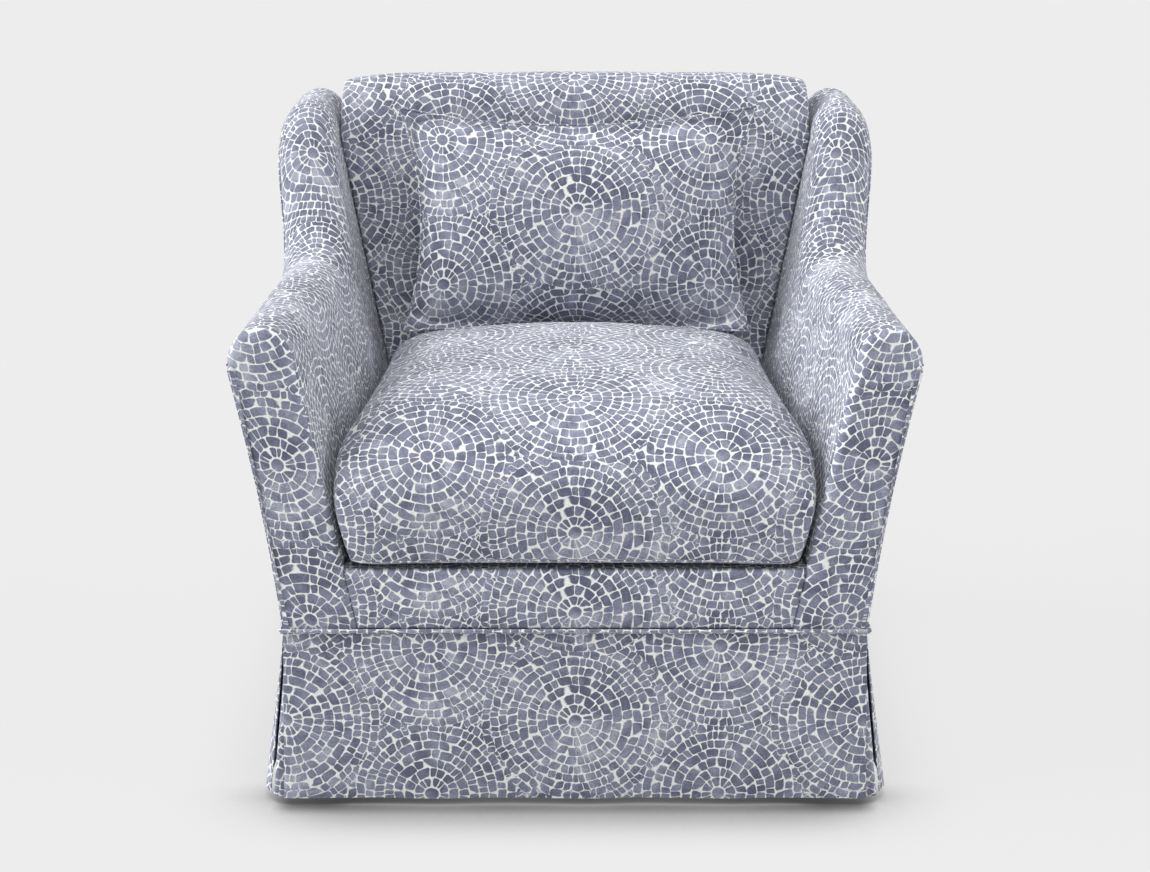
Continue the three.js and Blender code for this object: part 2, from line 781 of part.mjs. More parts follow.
// Underlays that close the corner pleats from behind
function pleatUnderlay(side, end) {
  const end_y = end < 0 ? front_seam_y : rear_seam_y;
  const rings = [0, 1].map((down) => {
    const set_in = skirt_thickness + underlay_setback;
    const x = side * (half_base - set_in + (side_hem_flare - skirt_fold_depth) * down);
    const y = end_y + end * (-set_in + (front_hem_flare - skirt_fold_depth) * down);
    const z = lerp(skirt_top, skirt_hem_height, down);
    const far_x = x - side * underlay_width;
    const far_y = y - end * underlay_width;
    const inner_x = x - side * skirt_thickness;
    const inner_y = y - end * skirt_thickness;
    return [[far_x, y], [x, y], [x, far_y], [inner_x, far_y], [inner_x, inner_y], [far_x, inner_y]]
      .map(([px, py]) => new THREE.Vector3(px, py, z));
  });
  return loft(rings, onFloor);
}
for (const [side_name, side] of both_sides) {
  for (const [end_name, end] of [["front", -1], ["back", 1]]) {
    addPiece(`${side_name}_${end_name}_pleat_underlay`, pleatUnderlay(side, end), fabric_blue);
  }
}

// Welt around the seam
function skirtWelt() {
  const reach = welt_radius + clearance;
  const corners = [[1, -1], [1, 1], [-1, 1], [-1, -1]];
  const sections = corners.flatMap(([side, end], corner) => {
    const corner_y = skirt_middle + end * skirt_half_depth;
    const body_corner = new THREE.Vector3(side * half_base, corner_y, seam_height);
    return welt_corner_shares.map((share) => {
      const angle = ((corner - 1 + share) * Math.PI) / 2;
      const out = new THREE.Vector3(Math.cos(angle), Math.sin(angle), 0);
      const middle = body_corner.clone().addScaledVector(out, reach);
      return { middle, out };
    });
  });
  const positions = [];
  const index = [];
  sections.forEach(({ middle, out }, r) => {
    const next = (r + 1) % sections.length;
    for (let i = 0; i < welt_sides; i += 1) {
      const angle = (2 * Math.PI * i) / welt_sides;
      const point = middle.clone().addScaledVector(out, welt_radius * Math.cos(angle));
      point.z += welt_radius * Math.sin(angle);
      positions.push(point.x, point.y, point.z);
      const j = (i + 1) % welt_sides;
      const [a, b] = [r * welt_sides, next * welt_sides];
      index.push(a + i, b + i, b + j, a + i, b + j, a + j);
    }
  });
  return outward(positions, index);
}
addPiece("skirt_welt", skirtWelt(), fabric_blue);

// Points round a soft square, evenly spread along its sides
function planPoints(power) {
  const points = [];
  for (let i = 0; i < 4 * plan_steps; i += 1) {
    const side = Math.floor(i / plan_steps);
    const along = (2 * (i % plan_steps)) / plan_steps - 1;
    const [a, b] = [[1, along], [-along, 1], [-1, -along], [along, -1]][side];
    const shrink = (Math.abs(a) ** power + Math.abs(b) ** power) ** (-1 / power);
    points.push([a * shrink, b * shrink]);
  }
  return points;
}

// Seat cushion: crowned, waterfall front, sides drawn in between its corners
function cushionForm(inset) {
  const place = (px, py, radius, lift) => {
    const fill = cushion_rear_fill_share * Math.max(py, 0) ** 2 * (1 - px ** 2);
    const above_waist = Math.max(lift - cushion_waist_share, 0) / (1 - cushion_waist_share);
    const crown_lift = (1 - cushion_waist_share) * above_waist ** (1 - fill);
    const full_lift = Math.min(lift, cushion_waist_share) + crown_lift;
    const front_y = front_plane - cushion_front_reach + inset;
    const along = (py * radius + 1) / 2;
    const height = full_lift * (cushion_height - 2 * inset);
    const low = deckTop(lerp(front_y, backFrontY(deck_back_height), along)) + clearance + inset;
    const z = low + height;
    const y = lerp(front_y, cushionRear(z) - inset, along);
    const pull = cushion_pull_in * lift;
    const room = innerX(y, Math.min(z, seat_line_height)) - cushion_side_gap;
    const half = room - inset - pull * (1 - py ** 2);
    return new THREE.Vector3(px * radius * half, y, z);
  };
  const plan = planPoints(cushion_plan_power);
  const ring = ([radius, lift]) => plan.map(([px, py]) => place(px, py, radius, lift));
  const rings = cushion_profile_shares.map(ring);
  return raked(ringForm(place(0, 0, 0, 0), rings, place(0, 0, 0, 1)));
}

// Back edge of the cushion, which follows the inside back
function cushionRear(z) {
  return backFrontY(z) - back_bulge - cushion_back_gap;
}

const zip_level = deckTop(backFrontY(deck_back_height)) + clearance + cushion_waist_share * cushion_height;
const cushion_rear = cushionRear(zip_level);
function zipBlock(half_length, half_height, y_low, y_high, x = 0) {
  const [z_low, z_high] = [zip_level - half_height, zip_level + half_height];
  return raked(block(x - half_length, x + half_length, y_low, y_high, z_low, z_high));
}
const zip_half = zip_length_share * (innerX(cushion_rear, zip_level) - cushion_side_gap);
const seat_slot = zipBlock(zip_half, zip_slot_height / 2, cushion_rear - overrun, cushion_rear + overrun);
const seat_cover = cut(cushionForm(0), cushionForm(cover_thickness), seat_slot);
addPiece("seat_cushion_cover", seat_cover, fabric_blue, seat_cushion);
addPiece("seat_cushion_foam", cushionForm(cover_thickness + clearance), foam, seat_cushion);
const slider_x = zip_half - zip_slider_length;
addPiece(
  "seat_zip_slider",
  zipBlock(
    zip_slider_length / 2, zip_slot_height / 2 - zip_running_gap,
    cushion_rear - cover_thickness + zip_running_gap, cushion_rear + zip_slider_proud, slider_x,
  ),
  zip_metal,
  seat_cushion,
);

// Lumbar pillow: knife edges that dip between its corners, in a frame of its own
const cushion_top = deckTop(back_front) + clearance + cushion_height;
const pillow_centre_height = cushion_top + pillow_rest_lift;
const pillow_half_width = innerX(back_front, pillow_centre_height) - pillow_side_margin;
const pillow_rake = rake_share * (pillow_centre_height - frame_bottom_height);
const pillow_back_y = backFrontY(pillow_centre_height) + pillow_rake;
const pillow_centre_y = pillow_back_y - back_bulge - pillow_thickness / 2 - pillow_lean_gap;
const pillow_zip_half = pillow_half_width - pillow_zip_end_margin;
function pillowForm(inset, allowance) {
  const half_x = pillow_half_width - inset - allowance;
  const half_z = pillow_height / 2 - inset - allowance;
  const place = (px, pz, radius, lift) => {
    const x = px * radius * (half_x - pillow_pull_in * (1 - pz ** 2));
    const z = pz * radius * (half_z - pillow_pull_in * (1 - px ** 2));
    return new THREE.Vector3(x, (lift - 0.5) * (pillow_thickness - 2 * inset), z);
  };
  const plan = planPoints(pillow_plan_power);
  const ring = ([radius, lift]) => plan.map(([px, pz]) => place(px, pz, radius, lift));
  const rings = pillow_profile_shares.map(ring);
  return ringForm(place(0, 0, 0, 0), rings, place(0, 0, 0, 1));
}

const pillow_edge = -pillow_height / 2 + pillow_pull_in;
const pillow_slot_top = pillow_edge + pillow_slot_depth;
const pillowSlot = (margin) => block(
  -pillow_zip_half - margin, pillow_zip_half + margin,
  -pillow_zip_width / 2 - margin, pillow_zip_width / 2 + margin,
  -pillow_height, pillow_slot_top + margin,
);
const pillow_space = pillowForm(cover_thickness, pillow_seam_allowance);
const pillow_fill = pillowForm(cover_thickness + clearance, pillow_seam_allowance);
addPiece("pillow_cover", cut(pillowForm(0, 0), pillow_space, pillowSlot(0)), fabric_blue, pillow);
addPiece("pillow_insert", cut(pillow_fill, pillowSlot(clearance)), foam, pillow);
const pillow_slider_half = pillow_zip_width / 2 - zip_running_gap;
const pillow_slider_x = pillow_zip_half - pillow_slider_length;
addPiece(
  "pillow_zip_slider",
  block(
    pillow_slider_x - pillow_slider_length / 2, pillow_slider_x + pillow_slider_length / 2,
    -pillow_slider_half, pillow_slider_half,
    pillow_edge + pillow_slider_recess, pillow_slot_top - zip_running_gap,
  ),
  zip_metal,
  pillow,
);
pillow.position.set(0, pillow_centre_y, pillow_centre_height);
pillow.rotation.x = -pillow_lean;

export default chair;
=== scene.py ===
"""A slipper chair with winged arms, a skirt, a loose seat cushion and a lumbar pillow."""
import json
import math
from functools import partialmethod

import bmesh
import bpy
import numpy as np
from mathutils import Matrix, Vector, noise
from mathutils.bvhtree import BVHTree


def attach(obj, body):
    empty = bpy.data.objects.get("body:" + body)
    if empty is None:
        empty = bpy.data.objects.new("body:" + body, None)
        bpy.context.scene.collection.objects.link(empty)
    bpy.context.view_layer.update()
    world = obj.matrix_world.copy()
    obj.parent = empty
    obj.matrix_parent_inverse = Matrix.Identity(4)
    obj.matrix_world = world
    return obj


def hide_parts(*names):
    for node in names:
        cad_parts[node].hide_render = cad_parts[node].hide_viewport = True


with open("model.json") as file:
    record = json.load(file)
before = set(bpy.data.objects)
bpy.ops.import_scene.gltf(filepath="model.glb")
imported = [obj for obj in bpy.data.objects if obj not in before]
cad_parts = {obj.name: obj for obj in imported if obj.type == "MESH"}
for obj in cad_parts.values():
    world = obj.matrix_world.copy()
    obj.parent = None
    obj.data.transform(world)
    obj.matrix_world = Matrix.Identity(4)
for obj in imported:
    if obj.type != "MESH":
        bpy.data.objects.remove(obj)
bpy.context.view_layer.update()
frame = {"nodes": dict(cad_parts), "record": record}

# Millimetres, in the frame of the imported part
MM = 0.001
OVERALL_WIDTH, OVERALL_DEPTH = 808, 800
BASE_SET_IN, ARM_FRONT_SET_IN = 61, 5
ARM_BASE, WING_BASE, ARM_TOP, WING_TOP = 88, 122.5, 76, 78
FRAME_BOTTOM, SEAM, SEAT_LINE = 165, 222, 420
DECK_FRONT, DECK_BACK = 294, 284
ARM_HEIGHT, ARM_CROWN, WING_RISE, WING_CROWN, BACK_RISE = 579, 42, 178, 50, 30
RAKE, BACK_RAKE = 0.06, 0.205
CLEAR = 0.3
FRONT_PANEL, SIDE_PANEL, BACK_PANEL = 12, 8, 8
BAY_INSET = SIDE_PANEL + CLEAR + 28 + 0.7
HALF_BASE = OVERALL_WIDTH / 2 - BASE_SET_IN
WING_HEIGHT = ARM_HEIGHT + WING_RISE
OVERALL_HEIGHT = WING_HEIGHT + BACK_RISE
ARM_EDGE, WING_EDGE = ARM_HEIGHT - ARM_CROWN, WING_HEIGHT - WING_CROWN
FRONT = -OVERALL_DEPTH / 2 + 6 - RAKE * (SEAM - FRAME_BOTTOM)
REAR = OVERALL_DEPTH / 2 - RAKE * (WING_EDGE - FRAME_BOTTOM)
BODY_FRONT, BODY_REAR = FRONT + FRONT_PANEL + CLEAR, REAR - BACK_PANEL - CLEAR
ZONE_FRONT, BACK_FRONT, BACK_CREST = REAR - 58.6, REAR - 229.6, REAR - 108.6
SWOOP_START, SWOOP_END = REAR - 401.6, REAR - 157.6
FRONT_LEAN = (BASE_SET_IN - ARM_FRONT_SET_IN) / (ARM_EDGE - SEAM)
REAR_LEAN = BASE_SET_IN / (WING_EDGE - SEAM)
WING_REAR_ROUND, WING_REAR_DROP = 48, 36
BACK_BULGE = 12
HOLLOW = 4.5
FRONT_SEAM_Y = FRONT + RAKE * (SEAM - FRAME_BOTTOM)
REAR_SEAM_Y = REAR + RAKE * (SEAM - FRAME_BOTTOM)
SKIRT_MIDDLE, SKIRT_HALF = (FRONT_SEAM_Y + REAR_SEAM_Y) / 2, (REAR_SEAM_Y - FRONT_SEAM_Y) / 2
SKIRT_TOP, HEM = SEAM - CLEAR, 9

# Print: medallions on a centred lattice, rings of stones round them, bare cloth between the stones
REPEAT_U, REPEAT_V = 343.0, 187.0
RING, LEAD, TILE, ROUND, GROUT = 12.3, 3.7, 11.6, 2.2, 1.4
EVEN_TO, SHRINK = 35.0, 95.0
BEND, BEND_SIZE, THREAD = 5.5, 34.0, 0.95
INK = ((0.091, 0.100, 0.158), (0.199, 0.212, 0.294), (0.40, 0.412, 0.497))
TINTS = ((0.34, 0.315, 0.375), (0.235, 0.285, 0.345))
BARE_CLOTH = ((0.87, 0.872, 0.845), (0.71, 0.716, 0.715))
WING_PHASE, BACK_PHASE = -382.0, 93.5

# Seat cushion: reach from the middle to front and back, height, and reach to the sides
CUSHION_PROFILE = np.array([
    (0.5, 0, 0.5), (0.88, 0, 0.9), (0.962, 0.005, 0.985), (0.98, 0.021, 0.996), (0.987, 0.05, 0.999),
    (0.994, 0.16, 1), (1, 0.34, 1), (0.991, 0.49, 1), (0.962, 0.61, 0.999), (0.91, 0.72, 0.985),
    (0.825, 0.82, 0.945), (0.68, 0.905, 0.83), (0.45, 0.965, 0.58), (0.2, 0.993, 0.27),
])
CUSHION_LEVELS, CUSHION_STEPS = 49, 24
# Which of the points round the cushion is the middle of its front and of its back
CUSHION_NOSE, CUSHION_TAIL = 84, 36
CUSHION_THICK, CUSHION_CORNER, CUSHION_SHOULDER = 197, 30, 7
CUSHION_LIP, CUSHION_SPILL = 2.2, 6
CUSHION_SEAM, SEAM_RADIUS = 0.02, 1.5

# Laid cloth: cuts across its CAD node, and slack down and towards the back
DECK_CUTS, DECK_SLACK, DECK_BAND = 44, (1.6, 0), 120
DUST_CUTS, DUST_SLACK = 30, (1.1, 0)
WEB_CUTS, WEB_SLACK = 16, (0, -0.5)

# Zips: start, end, direction in which the cover is pressed in, and reach of that channel
SEAT_ZIP = (-192, 121, 362), (192, 121, 362), (0, -1, 0), 9.5
PILLOW_ZIP = (-172, 106.5, 483.2), (172, 106.5, 483.2), (0, 0.25, 0.968), 5
ZIP_STEP, ZIP_PITCH, ZIP_HALF, TAPE_HALF = 0.45, 3.2, 1.7, 7.0
COIL_RADIUS, COIL_LIFT, COIL_DEPTH = 0.5, 0.9, 0.5
TAPE_RISE, TAPE_SINK = 0.55, 0.9

# Cloth simulation that fills the two cushions: pressure, furthest move and voxel size
SEAT_FILL, PILLOW_FILL = (3.0, 0.006, 0.0065), (3.5, 0.012)
FRAMES = 20
FILLING = {
    "quality": 5, "mass": 0.3, "tension_stiffness": 14, "compression_stiffness": 9,
    "shear_stiffness": 8, "bending_stiffness": 0.6, "use_pressure": True,
}

# Skirt
SKIRT_CLOTH, SKIRT_FOLD, FOLD_DEPTH = 2.4, 172, 2.4
PLEAT_CLOTH, PLEAT_REACH, PLEAT_ROUND, PLEAT_SET_IN = 2.6, 92, 5.0, 4.2
WELT_RADIUS, WELT_SQUASH, WELT_STEP = 2.2, 1.25, 12

# Floor, light and camera, in metres and degrees
FLOOR_REACH, FLOOR_TONE, BACKGROUND = 30.0, 0.58, 0.835
PAPER_INNER, PAPER_REACH, PAPER_SHARES = (0.28, 0.375), 0.11, (0.45, 0.93)
# Painted contact shadow on the floor: reach and opening of the ambient occlusion that darkens the
# floor's colour near the chair
PAINTED_SHADOW_REACH, PAINTED_SHADOW_OPEN = 0.14, (0.44, 0.97)
# Strength of that painted shadow at the sides and in front, and where it turns from one to the other
PAINTED_SHADOW_TONES, PAINTED_SHADOW_SIDE, PAINTED_SHADOW_FRONT = (0.85, 0.26), 0.33, 0.40
# Painted shadow under the chair: the floor's colour is darker inside the chair's footprint, fading out
# a short reach beyond it
FOOTPRINT, PAINTED_UNDER_SHADOW_REACH, PAINTED_UNDER_SHADOW_TONE = (0.338, 0.4), 0.03, 0.5
WORLD_LIGHT = 0.31
SUNS = (
    ("top_light", 1.3, 40, (24, 0, 0)),
    ("left_light", 3.8, 50, (60, 0, -89)),
    ("right_light", 1.6, 50, (58, 0, 89)),
)
CAMERA_AT, CAMERA_DOWN = (0, -2.804, 1.174), 16.5
FOCAL_PIXELS, PHOTO_WIDTH, SENSOR_WIDTH = 2200, 1150, 36.0


def lerp(a, b, t):
    return a + (b - a) * t


def grid(x, y, z):
    """Points from arrays of X, Y and Z, spread over their common shape."""
    return np.stack(np.broadcast_arrays(x, y, z), -1)


def frame_x(y, z):
    share = np.clip((y - FRONT) / (REAR - FRONT), 0, 1)
    lean = REAR_LEAN + (FRONT_LEAN - REAR_LEAN) * (1 - share) ** 2
    return HALF_BASE + lean * (z - SEAM)


def outer_x(y, z):
    """Outer face, a little hollow between the seam and the arm's edge near the front."""
    share = np.clip((y - FRONT) / (REAR - FRONT), 0, 1)
    up = np.clip((z - SEAM) / (ARM_EDGE - SEAM), 0, 1)
    return frame_x(y, z) - HOLLOW * (1 - share) * np.sin(math.pi * up)


def inner_x(y, z):
    share = np.clip((y - FRONT) / (BACK_FRONT - FRONT), 0, 1)
    arm_top = OVERALL_WIDTH / 2 - ARM_FRONT_SET_IN - ARM_TOP
    wing_top = OVERALL_WIDTH / 2 - WING_TOP
    front = lerp(HALF_BASE - ARM_BASE, arm_top, (z - SEAM) / (ARM_EDGE - SEAM))
    back = lerp(HALF_BASE - WING_BASE, wing_top, (z - SEAM) / (WING_EDGE - SEAM))
    return lerp(front, back, share)


def deck_top(y):
    return lerp(DECK_FRONT, DECK_BACK, (y - FRONT) / (ZONE_FRONT - FRONT))


def back_front_y(z):
    return BACK_FRONT + BACK_RAKE * (z - SEAT_LINE)


def raked(points):
    out = np.array(points, float)
    out[..., 1] += RAKE * np.maximum(out[..., 2] - FRAME_BOTTOM, 0)
    return out


def bezier(p0, p1, p2, p3, count):
    t = np.linspace(0, 1, count)[:, None]
    p0, p1, p2, p3 = (np.array(p, float) for p in (p0, p1, p2, p3))
    return (1 - t) ** 3 * p0 + 3 * (1 - t) ** 2 * t * p1 + 3 * (1 - t) * t**2 * p2 + t**3 * p3


def arm_line():
    """Depth, edge height and crown of arm and wing, from front to back."""
    swoop = bezier(
        (SWOOP_START, ARM_HEIGHT), (SWOOP_START + 185, ARM_HEIGHT),
        (SWOOP_END - 140, WING_HEIGHT), (SWOOP_END, WING_HEIGHT), 60,
    )
    share = (swoop[:, 1] - ARM_HEIGHT) / (WING_HEIGHT - ARM_HEIGHT)
    crown = lerp(ARM_CROWN, WING_CROWN, share)
    turn = np.linspace(0, 1, 12) * math.pi / 2
    end_y = REAR - WING_REAR_ROUND + WING_REAR_ROUND * np.sin(turn)
    drop = WING_REAR_DROP * (1 - np.cos(turn))
    y = np.concatenate([[FRONT], swoop[:, 0], end_y])
    edge = np.concatenate([[ARM_EDGE], swoop[:, 1] - crown, np.full(12, WING_EDGE)])
    crowns = np.concatenate([[ARM_CROWN], crown, WING_CROWN - drop])
    return y, edge, crowns


LINE_Y, LINE_EDGE, LINE_CROWN = arm_line()


def edge_at(y):
    return np.interp(y, LINE_Y, LINE_EDGE)


def crown_at(y):
    return np.interp(y, LINE_Y, LINE_CROWN)


def spaced(count, gather=0.6):
    """Shares from 0 to 1, gathered towards both ends."""
    even = np.linspace(0, 1, count)
    return lerp(even, 0.5 - 0.5 * np.cos(math.pi * even), gather)


def uneven(points, size, seed):
    """Smooth unevenness between -1 and 1 at each point."""
    flat = points.reshape(-1, 3) / size
    values = [noise.noise(Vector((p[0] + seed, p[1] - seed, p[2] + 2 * seed))) for p in flat]
    return np.array(values).reshape(points.shape[:-1])


def arc_length(points, axis):
    step = np.linalg.norm(np.diff(points, axis=axis), axis=-1)
    start = np.zeros_like(np.take(step, [0], axis=axis))
    return np.concatenate([start, np.cumsum(step, axis=axis)], axis=axis)


def grid_normals(points):
    across = np.gradient(points, axis=0)
    along = np.gradient(points, axis=1)
    normal = np.cross(across, along)
    return normal / np.maximum(np.linalg.norm(normal, axis=-1, keepdims=True), 1e-9)


def rolled_off(distance, radius):
    """How far a rolled edge falls away at a distance from its seam."""
    share = np.clip(1 - distance / radius, 0, 1)
    return radius * (1 - np.sqrt(1 - share**2))


def dressed(points, outward, rolls=(0, 0, 0, 0), dome=0.0, wobble=0.8, size=110, seed=1.0):
    """Pads a grid of points: rolled edges, a low dome and slight unevenness."""
    normal = grid_normals(points)
    if np.sum(normal * outward) < 0:
        normal = -normal
    move = wobble * uneven(points, size, seed)
    for axis in (0, 1):
        run = arc_length(points, axis)
        total = np.take(run, [-1], axis=axis)
        share = run / np.maximum(total, 1e-6)
        for distance, radius in ((run, rolls[2 * axis]), (total - run, rolls[2 * axis + 1])):
            if radius:
                move = move - rolled_off(distance, radius)
        side = 1 - np.abs(2 * share - 1) ** 2.5
        dome_side = side if axis == 0 else dome_side * side
    move = move + dome * dome_side
    return points + normal * move[..., None]


def add_object(name, data):
    thing = bpy.data.objects.new(name, data)
    bpy.context.scene.collection.objects.link(thing)
    return thing


def new_object(name, verts, faces, uv=None):
    mesh = bpy.data.meshes.new(name)
    mesh.from_pydata([tuple(v) for v in verts], [], [tuple(f) for f in faces])
    mesh.update()
    if uv is not None:
        layer = mesh.uv_layers.new(name="cloth")
        index = np.zeros(len(mesh.loops), np.int32)
        mesh.loops.foreach_get("vertex_index", index)
        layer.data.foreach_set("uv", (np.asarray(uv)[index] * MM).astype(np.float32).ravel())
    thing = add_object(name, mesh)
    bm = bmesh.new()
    bm.from_mesh(mesh)
    bmesh.ops.recalc_face_normals(bm, faces=bm.faces)
    bm.to_mesh(mesh)
    bm.free()
    mesh.polygons.foreach_set("use_smooth", [True] * len(mesh.polygons))
    mesh.set_sharp_from_angle(angle=math.radians(55))
    return thing


def grid_faces(index):
    corners = index[:-1, :-1], index[1:, :-1], index[1:, 1:], index[:-1, 1:]
    return np.stack(corners, -1).reshape(-1, 4)


def shell(name, front, back, uv, inward=(0, 0)):
    """A closed body between two grids of points, in millimetres."""
    n, m = front.shape[:2]
    index = np.arange(n * m).reshape(n, m)
    quads = grid_faces(index)
    other = quads[:, ::-1] + n * m
    loop = np.concatenate([index[0, :-1], index[:-1, -1], index[-1, :0:-1], index[:0:-1, 0]])
    after = np.roll(loop, -1)
    rim = np.stack([loop, after, after + n * m, loop + n * m], -1)
    verts = np.concatenate([front.reshape(-1, 3), back.reshape(-1, 3)]) * MM
    flat = np.concatenate([uv.reshape(-1, 2), uv.reshape(-1, 2) + inward])
    return new_object(name, verts, np.concatenate([quads, other, rim]), flat)


def tube(name, path, radius, closed=False, sides=10, squash=1.0):
    """A round strip along a path, in millimetres."""
    path = np.asarray(path, float)
    count = len(path)
    ahead = np.roll(path, -1, 0) - path if closed else np.gradient(path, axis=0)
    ahead = ahead / np.linalg.norm(ahead, axis=1, keepdims=True)
    up = np.array([0.0, 0.0, 1.0])
    frames = []
    for direction in ahead:
        side = np.cross(direction, up)
        if np.linalg.norm(side) < 0.05:
            side = np.cross(direction, [1.0, 0.0, 0.0])
        side = side / np.linalg.norm(side)
        if frames and np.dot(side, frames[-1][0]) < 0:
            side = -side
        frames.append((side, np.cross(side, direction)))
    verts, uv, faces = [], [], []
    for point, run, (side, lift) in zip(path, arc_length(path, 0), frames):
        for a in np.linspace(0, 2 * math.pi, sides, endpoint=False):
            verts.append((point + radius * (math.cos(a) * side + squash * math.sin(a) * lift)) * MM)
            uv.append((run, radius * a))
    for i in range(count if closed else count - 1):
        j = (i + 1) % count
        for k in range(sides):
            q = (k + 1) % sides
            faces.append((i * sides + k, j * sides + k, j * sides + q, i * sides + q))
    if not closed:
        faces.append(tuple(range(sides)))
        faces.append(tuple((count - 1) * sides + k for k in range(sides)))
    return new_object(name, verts, faces, uv)


def flip_x(points, side):
    out = np.array(points, float)
    out[..., 0] *= side
    return out


# Shader building
def feed(tree, slot, item):
    """Links an output to a slot, or gives the slot its number, vector or colour."""
    item = item.value if isinstance(item, Num) else item
    if isinstance(item, tuple):
        slot.default_value = (*item, 1.0) if slot.type == "RGBA" else item
    elif isinstance(item, (int, float)):
        slot.default_value = item
    else:
        tree.links.new(item, slot)


def add_node(tree, kind, inputs=None, **settings):
    """A node with its settings and inputs."""
    node = tree.nodes.new(f"ShaderNode{kind}")
    for key, value in settings.items():
        setattr(node, key, value)
    for key, item in (inputs or {}).items():
        feed(tree, node.inputs[key], item)
    return node


class Num:
    """A number in a node tree that can be added, multiplied and so on."""

    def __init__(self, tree, value):
        self.tree, self.value = tree, value

    def op(self, operation, *others):
        node = add_node(self.tree, "Math", dict(enumerate((self, *others))), operation=operation)
        return Num(self.tree, node.outputs[0])

    __add__ = partialmethod(op, "ADD")
    __sub__ = partialmethod(op, "SUBTRACT")
    __mul__ = partialmethod(op, "MULTIPLY")
    __truediv__ = partialmethod(op, "DIVIDE")
    round = partialmethod(op, "ROUND")
    floor = partialmethod(op, "FLOOR")
    abs = partialmethod(op, "ABSOLUTE")
    sqrt = partialmethod(op, "SQRT")
    cos = partialmethod(op, "COSINE")
    sin = partialmethod(op, "SINE")
    exp = partialmethod(op, "EXPONENT")
    atan2 = partialmethod(op, "ARCTAN2")
    min = partialmethod(op, "MINIMUM")
    max = partialmethod(op, "MAXIMUM")
    less = partialmethod(op, "LESS_THAN")
    mod = partialmethod(op, "FLOORED_MODULO")

    def square(self):
        return self * self

    def mix(self, other, share):
        return self + (other - self) * share

    def step(self, low, high):
        inputs = {"Value": self, "From Min": low, "From Max": high}
        node = add_node(self.tree, "MapRange", inputs, interpolation_type="SMOOTHSTEP")
        return Num(self.tree, node.outputs["Result"])


def const(tree, value):
    node = add_node(tree, "Value")
    node.outputs[0].default_value = value
    return Num(tree, node.outputs[0])


def combine(tree, x, y, z=0.0):
    return add_node(tree, "CombineXYZ", {0: x, 1: y, 2: z}).outputs[0]


def split(tree, vector):
    return [Num(tree, s) for s in add_node(tree, "SeparateXYZ", {0: vector}).outputs]


def noise_of(tree, vector, scale, detail=2.0, rough=0.5, color=False):
    inputs = {"Scale": scale, "Detail": detail, "Roughness": rough, "Vector": vector}
    node = add_node(tree, "TexNoise", inputs)
    return node.outputs["Color"] if color else Num(tree, node.outputs[0])


def mix_color(tree, share, a, b, kind="MIX"):
    node = add_node(tree, "Mix", data_type="RGBA", blend_type=kind)
    for key, item in (("Factor", share), ("A", a), ("B", b)):
        slots = [s for s in node.inputs if s.name == key and s.enabled]
        feed(tree, next(s for s in slots if (s.type == "RGBA") == (key != "Factor")), item)
    return next(s for s in node.outputs if s.type == "RGBA" and s.enabled)


